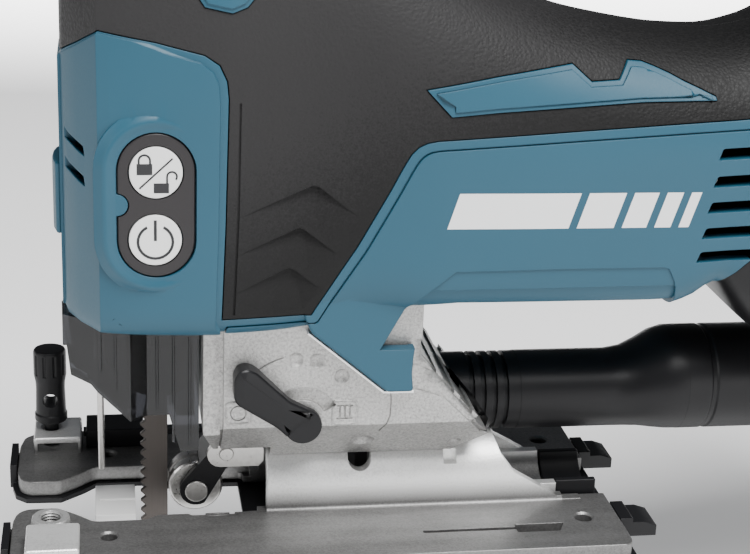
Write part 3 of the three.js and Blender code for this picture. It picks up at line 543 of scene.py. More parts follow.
bodyStations = [
    (-77.3, 146, 61, 9, 4, 9), (-76.5, 152, 59.9, 12, 4, 11), (-73.5, 160.5, 59.5, 18.6, 3.6, 12),
    (-69, 168.5, 59.5, 27.2, 3.4, 12), (-65.5, 172.4, 59.5, 28.4, 3.3, 12), (-60, 176, 59.5, 29.6, 3.2, 12),
    (-51, 179.3, 59.5, 30.6, 3.2, 12), (-42, 180, 59.5, 31, 3.1, 12), (-32, 177.5, 59.5, 30, 3, 12),
    (-22, 172, 59.6, 29.2, 2.9, 9), (-12, 164.5, 60.8, 29.6, 2.8, 6), (-2, 156.5, 62.6, 31, 2.7, 6),
    (8, 149, 63.4, 32, 2.6, 7), (20, 142.2, 63.4, 32.3, 2.5, 7), (32, 137, 63.4, 32.5, 2.4, 7),
    (43, 133.5, 63.4, 32.5, 2.4, 7), (55, 131, 63.4, 32.5, 2.4, 7), (66, 129.3, 63.7, 32.5, 2.4, 7),
    (73, 128.8, 66, 32.5, 2.4, 7), (80, 128.7, 70, 32.5, 2.4, 6.5), (84.5, 129.1, 65.2, 32.6, 2.4, 6),
    (90, 130.2, 58.8, 33, 2.5, 5), (97, 132.4, 53, 34, 2.6, 4.5),
    (106, 137, 50.6, 35.4, 2.9, 3.6), (118, 146.5, 50, 37, 3.4, 4.5),
    (130, 158, 50, 37.8, 4, 6), (140, 162, 50, 38, 4.5, 7),
]
bodyGrid = {"around": 112, "step": 2.6, "crispUntil": -69}

def sectionAt(x):
    rows = bodyStations
    if x <= rows[0][0]:
        return rows[0][1:]
    for i in range(len(rows) - 1):
        if x <= rows[i + 1][0]:
            break
    a, b = rows[i], rows[i + 1]
    t = (x - a[0]) / (b[0] - a[0])
    if b[0] <= bodyGrid["crispUntil"]:
        return [p + (q - p) * t for p, q in zip(a[1:], b[1:])]
    before = rows[i - 1] if a[0] > bodyGrid["crispUntil"] else None
    after = rows[i + 2] if i + 2 < len(rows) else None
    span = b[0] - a[0]
    values = []
    for k in range(1, 6):
        slope = (b[k] - a[k]) / span
        slopeA = slope if before is None else (b[k] - before[k]) / (b[0] - before[0])
        slopeB = slope if after is None else (after[k] - a[k]) / (after[0] - a[0])
        if (a[k] - (before or a)[k]) * (b[k] - a[k]) < 0:
            slopeA = 0
        h = t * t * (3 - 2 * t)
        lean = slopeA * t * (1 - t) ** 2 - slopeB * t * t * (1 - t)
        values.append(a[k] + (b[k] - a[k]) * h + span * lean)
    return values

def ringPoint(section, grow, turn):
    top, low, half, topPower, lowPower = section
    top, low, half = top + grow, low - grow, half + grow
    middle = min(97, (top + low) / 2 + 12)
    c, s = math.cos(turn), math.sin(turn)
    power = 2 / (topPower if s >= 0 else lowPower)
    reach = top - middle if s >= 0 else middle - low
    y = 0 if abs(c) < 1e-9 else half * math.copysign(abs(c) ** power, c)
    z = 0 if abs(s) < 1e-9 else reach * math.copysign(abs(s) ** power, s)
    return y, middle + z

def sideAt(x, z):
    top, low, half, topPower, lowPower = sectionAt(x)
    middle = min(97, (top + low) / 2 + 12)
    reach, power = (top - middle, topPower) if z >= middle else (middle - low, lowPower)
    share = min(1.0, abs(z - middle) / reach)
    return half * (1 - share ** power) ** (1 / power)

def bodySolid(grow, first=None, last=None, around=None, step=None):
    step = step or bodyGrid["step"]
    around = around or bodyGrid["around"]
    first = bodyStations[0][0] - grow if first is None else first
    last = bodyStations[-1][0] if last is None else last
    places = [row[0] for row in bodyStations if first < row[0] <= bodyGrid["crispUntil"]]
    x = max(bodyGrid["crispUntil"], first) + step
    while x < last - step * 0.5:
        places.append(x)
        x += step
    places = [first, *places, last]
    bm = bmesh.new()
    turnLayer = bm.verts.layers.float.new("turn")
    ring = bmesh.ops.create_circle(bm, cap_ends=False, segments=around, radius=1)["verts"]
    for vert in ring:
        vert[turnLayer] = math.atan2(vert.co.y, vert.co.x)
    edges = list(bm.edges)
    firstEdges = edges
    rows = [list(ring)]
    for _ in places[1:]:
        made = bmesh.ops.extrude_edge_only(bm, edges=edges)["geom"]
        rows.append([v for v in made if isinstance(v, bmesh.types.BMVert)])
        rowVerts = set(rows[-1])
        edges = [e for e in made if isinstance(e, bmesh.types.BMEdge) and rowVerts.issuperset(e.verts)]
    for x, row in zip(places, rows):
        section = sectionAt(x)
        for vert in row:
            y, z = ringPoint(section, grow, vert[turnLayer])
            vert.co = (x, y, z)
    bmesh.ops.contextual_create(bm, geom=firstEdges)
    bmesh.ops.contextual_create(bm, geom=edges)
    return toMesh(bm)

def core(depth, around=64, step=4):
    # the body less a depth, for cuts that stop below its skin
    return bodySolid(-depth, -80, 141, around, step)


# ---- housing halves, soft covers, inlays and rear housing

housing = {
    "wall": 3.2, "seam": 0.14, "parting": 0.06,
    "headStep": 0.6, "headChamfer": 1.2, "panelStep": 0.35, "panelMargin": 1.75, "groove": 0.32,
}
coverOutline = [
    (-90, 119), (-78, 122.5), (-76.5, 124.5), (-68.6, 131.4), (-56, 129.4), (-45.2, 126.8),
    (-41.9, 124.6), (-40.2, 121), (-39.8, 117), (-39.9, 110), (-40.3, 86.6), (-41, 64.4), (-19.8, 64.4),
    (-13.8, 74.6), (-9.6, 81.6), (-6.1, 88.4), (-2.4, 95.6), (-0.6, 99.4), (0.8, 102.2), (2.0, 104.3),
    (3.6, 106.0), (5.6, 107.0), (8.2, 107.5),
    (40, 109.6), (80, 112), (104, 114), (104, 220), (-90, 220),
]
rearOutline = [
    (76, 30), (79.7, 70.8), (82.3, 73.7), (84.8, 76.5), (87, 78.6), (100, 88.4), (105, 96), (105, 220),
    (170, 220), (170, 30),
]
inlayOutline = [
    (5.1, 119.1), (22.1, 121.9), (40.1, 124.2), (44.5, 120.4), (51.4, 120.7), (54.2, 124.6),
    (57.7, 124.3), (60.6, 123.3), (64.1, 121.9), (67.4, 120.3), (71.2, 118.7), (74.8, 117.1),
    (75, 116.3), (56.6, 116.1), (46.1, 115.5), (34.2, 114.8), (22.1, 114.1), (10.9, 113.1),
]
crownOutline = [(-45.2, 137.4), (-39.1, 136.1), (-35.8, 137.4), (-31, 143), (-37, 149), (-49, 143)]
legOutline = [
    (-24, 70), (-19.6, 59.6), (-0.7, 43.9), (5.8, 43.9), (5.3, 48), (5.4, 52.2), (6, 57.3), (7.2, 60),
    (9, 61.9), (11.4, 63.5), (14.4, 64.6), (20, 66), (20, 72), (-24, 72),
]
headOutline = [
    (-95, 56), (-95, 119.5), (-78, 122.2), (-76.3, 124), (-68.8, 130.9), (-56, 128.9), (-45.6, 126.3),
    (-42.3, 123.9), (-40.9, 120.8), (-40.5, 116), (-40.7, 86.6), (-41.4, 56),
]
barrelOutline = [
    (-42, 64.2), (-19.5, 64.2), (-13.4, 74.5), (-9.2, 81.5), (-5.7, 88.3), (-2.0, 95.5), (-0.2, 99.2),
    (1.2, 102), (2.4, 104), (3.9, 105.6), (5.8, 106.6), (8.3, 107.1), (40, 109.2), (80, 111.6), (99, 112.9),
    (120, 114), (120, 40), (-42, 40),
]
recessSteps = [
    (0.0, [
        (13.7, 75.9), (39.2, 76.4), (64.6, 76.4), (65.9, 76.0), (67.7, 72.6), (68.7, 67.5), (69, 55),
        (-3, 55), (2.6, 65.4), (8.2, 71),
    ]),
    (0.5, [(8.2, 71), (39.6, 71.3), (68.1, 71.5), (68.8, 67.5), (69.1, 55), (-3, 55), (2.6, 65.4)]),
    (1.05, [(2.6, 65.4), (17.8, 67.2), (68.9, 66.9), (69.1, 55), (-3, 55)]),
]
louvres = {"rows": [104.2, 97.6, 91.2, 84.8, 78.8], "start": 75.4, "end": 99.2}
switchPanel = {"x": -56, "low": 75.5, "high": 109.2, "radius": 8.7, "face": 30.8, "notch": (-64.9, 92.6, 2.5)}
buttonPlaces = {"lock": (-56.1, 100.2), "power": (-56.3, 84.3)}
screwPlaces = [(-52, 28.2, 65.6), (14, 30.2, 82), (66, 30.4, 82), (124, 35, 88)]
chevrons = [
    ([(-37.6, 89.0), (-21.6, 95.9), (-20.2, 96.5), (-18.8, 96.1), (-9.2, 88.6)],
     [(-19, 86.4), (-26, 85.4)], 1.8),
    ([(-37.8, 80.0), (-24.6, 85.8), (-23.2, 86.3), (-22.0, 85.8), (-14.2, 79.8)],
     [(-21, 76.9), (-28, 76.2)], 1.8),
    ([(-38.6, 70.5), (-26.8, 76.1), (-25.4, 76.6), (-24.0, 76.0), (-18.4, 71.4)],
     [(-22, 66), (-30, 65)], 1.7),
]

def panelRing():
    return stadium(switchPanel["x"], switchPanel["low"], switchPanel["high"], switchPanel["radius"], 20)

def mirrored(mesh):
    bm = bmesh.new()
    bm.from_mesh(mesh)
    bmesh.ops.scale(bm, verts=bm.verts, vec=(1, -1, 1))
    bmesh.ops.reverse_faces(bm, faces=bm.faces)
    copy = bpy.data.meshes.new("work")
    bm.to_mesh(copy)
    bm.free()
    return copy

def shingle(line, lower, depth):
    # a wedge that sinks below a chevron line and runs out towards the next one
    bm = bmesh.new()
    inner, outer = [], []
    proud = -0.05
    sinks = [proud] + [depth] * (len(line) - 2) + [proud] * (1 + len(lower))
    corners = list(zip(line + lower, sinks))
    for (x, z), sink in corners:
        inner.append(bm.verts.new((x, -(sideAt(x, z) - sink), z)))
        outer.append(bm.verts.new((x, -40, z)))
    bm.faces.new(outer)
    floor = bm.faces.new(list(reversed(inner)))
    for i in range(len(inner)):
        j = (i + 1) % len(inner)
        bm.faces.new((inner[i], inner[j], outer[j], outer[i]))
    bmesh.ops.triangulate(bm, faces=[floor])
    return toMesh(bm)

def region(outline, change):
    # everything inside an outline seen from the side, right across the tool
    return prism(grown(outline, change), -100, 100)

def louvreTools():
    tools = []
    for z in louvres["rows"]:
        start = louvres["start"] - (104.2 - z) * 0.12
        points = [(start, z - 1.4), (start + 1, z + 1.4), (louvres["end"], z + 2.8), (louvres["end"], z)]
        for side in (-1, 1):
            tools.append(prism(points, *sorted((side * 20, side * 60)), rounding=0.5))
    return tools

def bodyPieces():
    outer = bodySolid(0)
    raised = bodySolid(housing["headStep"])
    inner = bodySolid(-housing["wall"], -73.6, 136, 48, 5)
    leftSpace = block(-300, 400, -200, -housing["parting"], -100, 400)

    # half-round swelling round the switches
    roll = [(0, -1.9), (0.9, -0.6), (0.8, -0.85), (0.7, -0.42), (0.6, -0.03), (0.8, 0.25), (1.1, 0.3)]
    swell = tapered(grown(panelRing(), 5.4), roll, -27.5)
    pocket = prism(grown(panelRing(), 0.3), -60, -28.5)
    notchX, notchZ, notchRadius = switchPanel["notch"]
    pocket = cut(pocket, rod(notchRadius, -61, -28, "Y", (notchX, notchZ)))
    buttonHoles = [rod(6.5, -29.5, -26.6, "Y", place) for place in buttonPlaces.values()]

    # head panel with its rolled edge
    head = common(raised, prism(headOutline, -28.6, 28.6))
    edgeRoll = [(0, -0.9), (housing["headChamfer"], -1.1), (0.4, -4)]
    headLeft = common(raised, tapered(headOutline, edgeRoll, -28.5))
    head = join(head, headLeft, mirrored(headLeft))

    # legs, with rounded outer corners
    leg = prism(legOutline, -28.4, 28.4, rounding=0.8, edge=1.1)

    switchBack = prism(stadium(-56, 70, 114, 13), -40, -24.6)
    cavity = cut(inner, switchBack, mirrored(switchBack))
    mouths = [
        block(-66.5, 4.5, -25, 25, 40, 70), block(-30, 26, -24.6, 24.6, 30, 66),
        block(101, 123, -4.7, 4.7, 120, 170),
    ]

    solid = join(outer, head, leg, swell, mirrored(swell))
    pockets = [pocket, *buttonHoles]
    pockets += [mirrored(tool) for tool in pockets]
    shell = cut(solid, cavity, *mouths, *pockets, *louvreTools())
    print("body shell ready")

    # barrel panel: thin edge strip, a fine groove, then the raised field
    margin = housing["panelMargin"]
    fieldOutline = grown(barrelOutline, -margin - housing["groove"])
    field = common(bodySolid(housing["panelStep"]), prism(fieldOutline, 12, 60, rounding=0.8))
    grooveOuter = prism(grown(barrelOutline, -margin), 12, 60, rounding=0.8)
    grooveRing = cut(grooveOuter, prism(fieldOutline, 11, 61, rounding=0.8), core(0.5, None, None))
    steps = [cut(prism(points, 12, 60), core(depth, 80, 3)) for depth, points in recessSteps]
    steps += [mirrored(step) for step in steps]
    rearTool = region(rearOutline, housing["seam"])
    teal = cut(shell, region(coverOutline, housing["seam"]), rearTool)
    teal = cut(teal, grooveRing, mirrored(grooveRing))
    field = cut(field, cavity, *louvreTools(), core(1.2))
    field = cut(field, rearTool)
    teal = join(teal, field, mirrored(field))
    teal = cut(teal, *steps)

    # air slots on the chamfer beside the nose
    for low, high in ((101.4, 108.0), (94.3, 101.0)):
        comma = [
            (-78, high), (-75.6, high - 2.6), (-72.2, low + 2.6), (-71.9, low + 0.2),
            (-73.6, low + 0.9), (-76.4, high - 4.2), (-78, high - 2.4),
        ]
        slot = prism(comma, -27, -12.5, rounding=0.25)
        teal = cut(teal, slot, mirrored(slot))
    for x, y, z in screwPlaces:
        teal = cut(teal, rod(3.5, y, 60, "Y", (x, z), 32))
    left = common(teal, leftSpace)
    right = common(teal, mirrored(leftSpace))
    finish("housing_shell_left", left, "housing", "teal_printed", ("housing_left",))
    finish("housing_shell_right", right, "housing", "teal_printed", ("housing_right",))
    print("housing halves ready")

    # soft covers
    steps = []
    for line, lower, depth in chevrons:
        wedge = shingle(line, lower, depth)
        steps += [wedge, mirrored(wedge)]
    creaseLine = [(-38.5, 65.4), (-38.0, 65.4), (-37.2, 90), (-37.0, 116), (-37.4, 116), (-37.7, 90)]
    crease = cut(prism(creaseLine, -60, 60), core(0.4))
    cover = common(shell, region(coverOutline, -housing["seam"]))
    windows = []
    for outline in (inlayOutline, crownOutline):
        window = cut(prism(grown(outline, 0.2), -60, -6), core(1.3))
        windows += [window, mirrored(window)]
    cover = cut(cover, *steps, crease, *windows)
    for label, space in (("left", leftSpace), ("right", mirrored(leftSpace))):
        half = common(cover, space)
        finish("soft_cover_" + label, half, "housing", "soft_grip", ("grip_cover_" + label,))
    print("soft covers ready")

    # inlays with a stepped middle
    inlays = (("feather_inlay", inlayOutline, "accent_inlay_"), ("crown_inlay", crownOutline, None))
    for label, flip in (("left", False), ("right", True)):
        for name, outline, node in inlays:
            low = common(bodySolid(0.35), prism(outline, -60, -6))
            high = common(bodySolid(0.75), prism(grown(outline, -1.0), -60, -6))
            piece = cut(join(low, high), core(1.2))
            if flip:
                piece = mirrored(piece)
            finish(name + "_" + label, piece, "housing", "teal_plastic", (node + label,) if node else ())

    # rear housing with its battery tongue
    rear = common(shell, region(rearOutline, -housing["seam"]))
    rear = join(rear, block(139, 143.4, -20, 20, 66, 150), block(143.2, 146.2, -24, 24, 66, 150))
    rear = cut(rear, block(130, 150, -12, 12, 90, 110))
    for x, y, z in screwPlaces[-1:]:
        rear = cut(rear, rod(3.5, y, 60, "Y", (x, z), 32))
    finish("rear_shell", rear, "housing", "black_plastic", ("rear_housing",))
    print("rear housing ready")

bodyPieces()


# ---- switch panels and their buttons

buttonSizes = {"radius": 6.0, "back": 28.3, "face": 31.1, "icon": 0.07}

def iconPlates(shapes, centre, side):
    # flat shapes on a button face, given in (right, up) from its middle
    cx, cz = centre
    plates = []
    for points in shapes:
        placed = [(cx - side * u, cz + v) for u, v in points]
        face = buttonSizes["face"]
        plates.append(prism(placed, *sorted((side * (face - 0.3), side * (face + buttonSizes["icon"])))))
    return plates if len(plates) == 1 else [join(plates[0], *plates[1:])]

def arcBand(radius, width, start, end, cx=0.0, cy=0.0, steps=24):
    inner, outer = radius - width / 2, radius + width / 2
    turns = [math.radians(start + (end - start) * i / steps) for i in range(steps + 1)]
    out = [(cx + outer * math.cos(t), cy + outer * math.sin(t)) for t in turns]
    back = [(cx + inner * math.cos(t), cy + inner * math.sin(t)) for t in reversed(turns)]
    return out + back

def rect(x0, x1, y0, y1):
    return [(x0, y0), (x1, y0), (x1, y1), (x0, y1)]

iconShapes = {
    "power": [arcBand(3.95, 0.62, 118, 422, 0, -0.35), rect(-0.34, 0.34, -0.1, 4.8)],
    "lock": [
        rect(-4.3, -0.8, -0.45, 2.1), arcBand(1.25, 0.45, 0, 180, -2.55, 2.9, 16),
        rect(-4.03, -3.58, 1.9, 2.95), rect(-1.52, -1.07, 1.9, 2.95),
        rect(-0.5, 2.9, -4.7, -2.4), rect(2.27, 2.7, -2.6, -0.8),
        arcBand(1.1, 0.42, -40, 180, 3.58, -0.85, 18),
        [(-3.85, -3.5), (-3.6, -3.78), (3.85, 3.2), (3.62, 3.48)],
    ],
}

def switchPieces():
    notchX, notchZ, notchRadius = switchPanel["notch"]
    for label, side in (("left", -1), ("right", 1)):
        face = side * switchPanel["face"]
        plate = prism(panelRing(), *sorted((side * 28.8, face)), edge=0.35)
        plate = cut(plate, rod(notchRadius + 0.3, -60, 60, "Y", (notchX, notchZ)))
        plate = cut(plate, *[rod(6.3, -60, 60, "Y", place) for place in buttonPlaces.values()])
        finish("switch_plate_" + label, plate, "housing", "panel_plastic", ("switch_panel_" + label,))
        for kind, place in buttonPlaces.items():
            radius, back, front = (buttonSizes[k] for k in ("radius", "back", "face"))
            profile = [
                (back, 0), (back, radius), (front - 0.3, radius), (front - 0.1, radius - 0.1),
                (front, radius - 0.35), (front, 0),
            ]
            profile = [(side * along, r) for along, r in profile]
            cap = turned(profile, "Y", place)
            body = kind + "_" + label
            finish(body + "_cap", cap, body, "white_plastic", (kind + "_button_" + label,))
            finish(body + "_sign", iconPlates(iconShapes[kind], place, side)[0], body, "ink", weighted=False)
    print("switches ready")

switchPieces()


# ---- cast gear housing

casting = {"face": 24.0, "bend": 33.6, "dimple": 2.9, "seam": 0.32}

def castSection(inset):
    y, z = casting["face"] - inset, casting["bend"]
    foot, low = 9.4 - inset * 0.4, 19 + inset
    bend = z + inset * 0.4
    return [(-y, 90), (-y, bend), (-foot, low), (foot, low), (y, bend), (y, 90)]

def skinTool(points, depth, rounding=0.0, side=-1):
    tool = prism(points, *sorted((side * 32, side * 8)), rounding=rounding)
    return cut(tool, prism(castSection(depth), -70, 70, "X"))

def ball(radius, centre):
    bm = bmesh.new()
    bmesh.ops.create_uvsphere(bm, u_segments=32, v_segments=20, radius=radius)
    bmesh.ops.translate(bm, verts=bm.verts, vec=centre)
    return toMesh(bm)

castLines = [
    # the seam under the leg, then the two facets behind it: outline, depth and corner rounding
    ([(0.55, 42.6), (0.9, 42.6), (1.25, 40.6), (1.2, 36), (0.3, 33.4), (-0.9, 30.4), (-1.2, 30.5),
      (0, 33.5), (0.85, 36), (0.9, 40.6)], 0.35, 0),
    ([(6.0, 49.3), (12.2, 46.6), (21.0, 36.0), (27.6, 27.6), (31, 30), (12, 56), (6.0, 56)], 1.5, 0.3),
    ([(6.0, 42.9), (14.6, 40.0), (22.3, 32.4), (25.4, 28.2), (27.6, 27.6), (21.0, 36.0), (12.2, 46.6),
      (6.0, 49.3)], 0.8, 0.3),
]

def castPiece():
    hubX, hubZ = -20.7, 34.6
    body = cadCopy("gear_housing")
    raised = []
    sunk = []
    for side in (-1, 1):
        face = side * casting["face"]
        for x, z in ((-22.6, 51.2), (-17.5, 50.9), (-11.3, 46.8)):
            sunk.append(ball(casting["dimple"], (x, side * (casting["face"] + 2.1), z)))
        sunk.append(skinTool(arcBand(7.7, 3.4, 28, 128, hubX, hubZ), 1.3, 0.3, side))
        sunk.append(skinTool(arcBand(18.0, 0.3, 106, 127, hubX, hubZ), 0.3, 0, side))
        sunk += [skinTool(line, depth, rounding, side) for line, depth, rounding in castLines]
        sunk.append(skinTool(rect(-40.55, -39.95, 23, 59.4), 1.1, 0, side))
        sunk.append(ball(3.4, (-4.2, side * 17.4, 24.6)))
        sunk.append(ball(2.0, (19.8, side * 15.2, 23.4)))
        for x0, x1, z0, z1 in ((-13.5, -7.1, 33.9, 40.5), (-39.6, -33.3, 34.7, 40.7)):
            pad = rect(x0, x1, z0, z1)
            tray = rect(x0 + 0.4, x1 - 0.4, z0 + 0.4, z1 - 0.4)
            depths = sorted((face - side * 0.5, face + side * 0.28))
            raised.append(prism(pad, *depths, rounding=1.1, edge=0.14))
            hollow = prism(tray, *sorted((face, face + side * 2)), rounding=0.9)
            sunk.append(cut(hollow, prism(pad, *sorted((face - side * 2, face + side * 0.12)))))
        marks = [rect(x, x + 0.4, 35.4, 39.0) for x in (-11.75, -10.5, -9.25)]
        marks += [rect(-12.3, -8.3, 38.7, 39.1), rect(-12.3, -8.3, 35.3, 35.7)]
        numeral = [prism(points, *sorted((face - side * 0.35, face + side * 1))) for points in marks]
        sunk.append(join(numeral[0], *numeral[1:]))
        ring = rod(2.0, *sorted((face - side * 0.2, face + side * 1)), "Y", (-36.4, 37.7))
        sunk.append(cut(ring, rod(1.75, -60, 60, "Y", (-36.4, 37.7))))
    body = join(body, *raised)
    body = cut(body, *sunk)
    finish("gear_casting", body, "housing", "cast_aluminium", ("gear_housing",), sharp=28)
    print("gear casting ready")

castPiece()

# a thin strip along the leg's lower edge; it stands well above the plate, so it takes the paler aluminium
# tone, which is a painted highlight along that edge
legRim = [(-20.0, 59.2), (-1.1, 43.5), (6.2, 43.5), (6.2, 42.9), (-1.3, 42.9), (-20.4, 58.8)]
for label, low, high in (("left", -26.6, -23.8), ("right", 23.8, 26.6)):
    finish("leg_rim_" + label, prism(legRim, low, high, edge=0.12), "housing", "smooth_aluminium")


# ---- lever for the pendulum action

lever = {"hub": (-20.7, 34.6), "hubRadius": 4.6, "face": 26.3, "back": 24.35, "lift": 3.0}

def leverPiece():
    hubX, hubZ = lever["hub"]
    arm = [
        (hubX + 3.3, hubZ + 3.2), (-24.2, 41.6), (-32.4, 50.0), (-34.6, 51.1), (-36.8, 50.6), (-37.9, 48.4),
        (-37.8, 43.2), (-36.9, 41.6), (-27.4, 34.8), (hubX - 3.6, hubZ - 2.9),
    ]
    bm = bmesh.new()
    face = outlineFace(bm, arm, -lever["back"], "Y", 0.7, 3)
    made = bmesh.ops.extrude_face_region(bm, geom=[face])["geom"]
    top = [f for f in made if isinstance(f, bmesh.types.BMFace)][0]
    toTip = Vector((-0.74, 0, 0.67))
    for vert in top.verts:
        reach = (vert.co - Vector((hubX, 0, hubZ))).dot(Vector((toTip.x, 0, toTip.z)))
        vert.co.y = -(25.9 + lever["lift"] * reach / 21)
    for thickness, rise in ((0.4, 0.35), (1.5, 0.5)):
        bmesh.ops.inset_region(bm, faces=[top], thickness=thickness, use_even_offset=True, use_boundary=True)
        bmesh.ops.translate(bm, verts=list(top.verts), vec=(0, -rise if thickness < 1 else -rise * 0.9, 0))
    bmesh.ops.triangulate(bm, faces=[top])
    armMesh = toMesh(bm)
    hub = rod(lever["hubRadius"], -lever["face"], -lever["back"], "Y", lever["hub"], 64, 0.35)
    piece = join(armMesh, hub)
    piece = cut(piece, rod(2.3, -25.4, -20, "Y", lever["hub"], 32))
    finish("pendulum_lever", piece, "orbital", "black_plastic", ("orbital_lever",), sharp=24)
    print("lever ready")

leverPiece()


# ---- cast base with its fork, tunnel, bridges and boss

base = {
    "top": 5.5, "bottom": 1.6, "edge": 0.9, "hump": 13.5, "tunnel": 10.8, "tiltZ": 10,
    "humpFront": -28, "humpRear": 55,
}
forkSide = [
    (60.7, 39), (-86, 39), (-90.4, 35.6), (-91.5, 30), (-91.5, 14), (-90.6, 9.6), (-88.4, 7.6), (-80.8, 7.3),
    (-75.6, 11.4), (-71.5, 15.5), (-58.5, 15.5), (-55.6, 13.2), (-32, 13.2),
]

def threadedBore(radius, low, high, x, y):
    pitch = 0.8
    profile = [(low, 0), (low, radius)]
    z = low
    while z < high - pitch:
        profile += [(z + pitch * 0.5, radius + 0.32), (z + pitch, radius)]
        z += pitch
    profile += [(high, radius + 0.5), (high + 3, radius + 0.5), (high + 3, 0)]
    return turned(profile, "Z", (x, y), 32)

def basePiece():
    plan = forkSide + [(x, -y) for x, y in reversed(forkSide)]
    plan = plan + [(62.2, -37), (62.2, 37)]
    plate = prism(plan, base["bottom"], base["top"], "Z", rounding=1.6, edge=base["edge"], both=False)
    hump = rod(base["hump"], base["humpFront"], base["humpRear"], "X", (0, base["tiltZ"]), 128, 0.4)
    ends = (base["humpFront"], base["humpRear"])
    foot = block(*ends, -base["hump"], base["hump"], base["bottom"], base["tiltZ"])
    hump = join(hump, foot)
    hump = cut(hump, block(-100, 100, -50, 50, -20, base["bottom"]))
    rearCurve = [(31, 60), (31, 24), (33.4, 18), (36.8, 13.6), (42, 10.6), (50, 5.7), (60, 5.7), (60, 60)]
    hump = cut(hump, prism(rearCurve, -40, 40))
    fillet = cut(block(base["humpFront"], 50, -base["hump"] - 1.1, base["hump"] + 1.1, 4, 6.6),
                 *[rod(1.1, -60, 90, "X", (side * (base["hump"] + 1.1), 6.6)) for side in (-1, 1)])
    bridges = []
    for side in (-1, 1):
        low, high = sorted((side * 24.5, side * 38.4))
        bridges.append(block(-87.6, -74.8, low, high, 4.5, 10.2, 0.7))
    bossProfile = [(4.5, 0), (4.5, 5.9), (5.5, 5.5), (6.2, 5.0), (8.1, 4.6), (8.4, 4.3), (8.4, 0)]
    boss = turned(bossProfile, "Z", (-82, -17.5))
    solid = join(plate, hump, fillet, *bridges, boss)
    cuts = [
        join(rod(base["tunnel"], -34, 70, "X", (0, base["tiltZ"]), 128),
             block(-34, 70, -base["tunnel"], base["tunnel"], -20, base["tiltZ"])),
        join(rod(3, -20, 20, "Y", (-4, 18.2)), block(-7, -1, -20, 20, 18.2, 40)),
        block(18, 21.4, -14, -9.6, 16.2, 24, 0.3), block(18, 21.4, 9.6, 14, 16.2, 24, 0.3),
        threadedBore(2.4, 0, 8.0, -82, -17.5), threadedBore(2.35, 0, 9.8, -83, 32),
        prism(rect(10, 34.4, -28.7, -27.3), 0, 10, "Z", rounding=0.6),
        prism([(34, -30.4), (45, -30.4), (47, -26.2), (34, -26.2)], 0, 10, "Z", rounding=0.5),
    ]
    for side in (-1, 1):
        low, high = sorted((side * 24, side * 60))
        cuts.append(block(-86.6, -75.8, low, high, 5.4, 8.6, 0.35))
        for x, y, radius in ((53, 23.5, 2.2), (-67.8, 23.6, 2.0)):
            rim = radius + 0.7
            bore = [(-1, 0), (-1, radius), (5.0, radius), (5.7, rim), (9, rim), (9, 0)]
            cuts.append(turned(bore, "Z", (x, side * y), 40))
    sweep = prism(arcBand(9.5, 2.6, 200, 300, -40.5, -5.6, 30), 4.9, 9, "Z", rounding=0.4)
    cuts += [sweep, mirrored(sweep)]
    cuts.append(prism([(-34, -13.2), (-30.2, -13.2), (-30.2, 13.2), (-34, 13.2)], 3.4, 9, "Z"))
    solid = cut(solid, *cuts)
    trough = cut(block(30.5, 48.7, -11.2, 11.2, base["bottom"], 9.2), rod(9.2, 20, 60, "X", (0, 12.2), 96))
    solid = join(solid, trough)
    finish("cast_base", solid, "base", "smooth_aluminium", ("base_plate",), sharp=30)
    print("base ready")

basePiece()


# ---- blade, guide, cover and the small parts of the base

refined("saw_blade", "plunger", "blade_steel", 0.12)
refined("blade_clamp", "plunger", "dark_steel", 0.4)
refined("plunger_rod", "plunger", "bright_steel", 0.4)
refined("holder_bracket", "housing", "bright_steel", 0.25)
refined("holder_pin", "housing", "bright_steel", 0.3)
refined("roller_holder", "holder", "black_plastic", 0.6)
refined("roller_pin", "holder", "bright_steel", 0.25)
refined("guide_roller", "roller", "bright_steel", 0.2)
refined("orbital_cam", "orbital", "dark_steel", 0.2)
refined("wire_guard", "housing", "bright_steel", 0.2)
refined("anti_splinter_insert", "base", "white_plastic", 0.15)
refined("bevel_stop", "base", "black_plastic", 0.3)
refined("key_clip", "base", "black_plastic", 0.6)
refined("hex_key", "base", "dark_steel", 0.15)
refined("clamp_plate", "housing", "dark_steel", 0.25)
refined("clamp_bolt", "housing", "dark_steel", 0.25)
refined("led_lamp", "housing", "lamp_lens", 0.4)
refined("tool_opener", "opener", "teal_plastic", 0.9)
refined("speed_dial", "dial", "black_plastic", 0.15)
refined("battery_latch", "latch", "teal_plastic", 0.6)
for index in range(1, 5):
    refined("housing_screw_" + str(index), "housing", "dark_steel", 0.2)

def coverPlatePiece():
    # the rear clips are trimmed level with the plate and slope off behind it
    trimming = block(50, 80, -45, 45, 5.2, 12)
    slope = prism([(65.5, 5.3), (73.5, 2.6), (73.5, 9), (65.5, 9)], -45, 45)
    plate = cut(cadCopy("cover_plate"), trimming, slope)
    finish("cover_plate_piece", plate, "base", "black_plastic", ("cover_plate",), bevel=0.35)

coverPlatePiece()
print("small parts ready")


# ---- clear cover round the blade, with its ribs

# each rib's place along the tool, its foot and the wall that it stands on
coverRibs = [(-69.2, 46, 15.3), (-65.6, 41, 15.3), (-55.5, 34, 11.8), (-51.5, 25, 11.8), (-47.5, 24, 11.8)]

def dustCoverPiece():
    shell = cadCopy("dust_cover")
    ribs = []
    for side in (-1, 1):
        for x, low, y in coverRibs:
            near, far = sorted((side * (y - 0.4), side * (y + 0.55)))
            ribs.append(block(x - 0.35, x + 0.35, near, far, low, 58.7, 0.12, 1))
    ribs.append(block(-78.5, -77.0, -0.35, 0.35, 47, 58.7, 0.12, 1))
    finish("clear_cover", join(shell, *ribs), "cover", "clear_plastic", ("dust_cover",), bevel=0.25)

dustCoverPiece()


# ---- fence screw

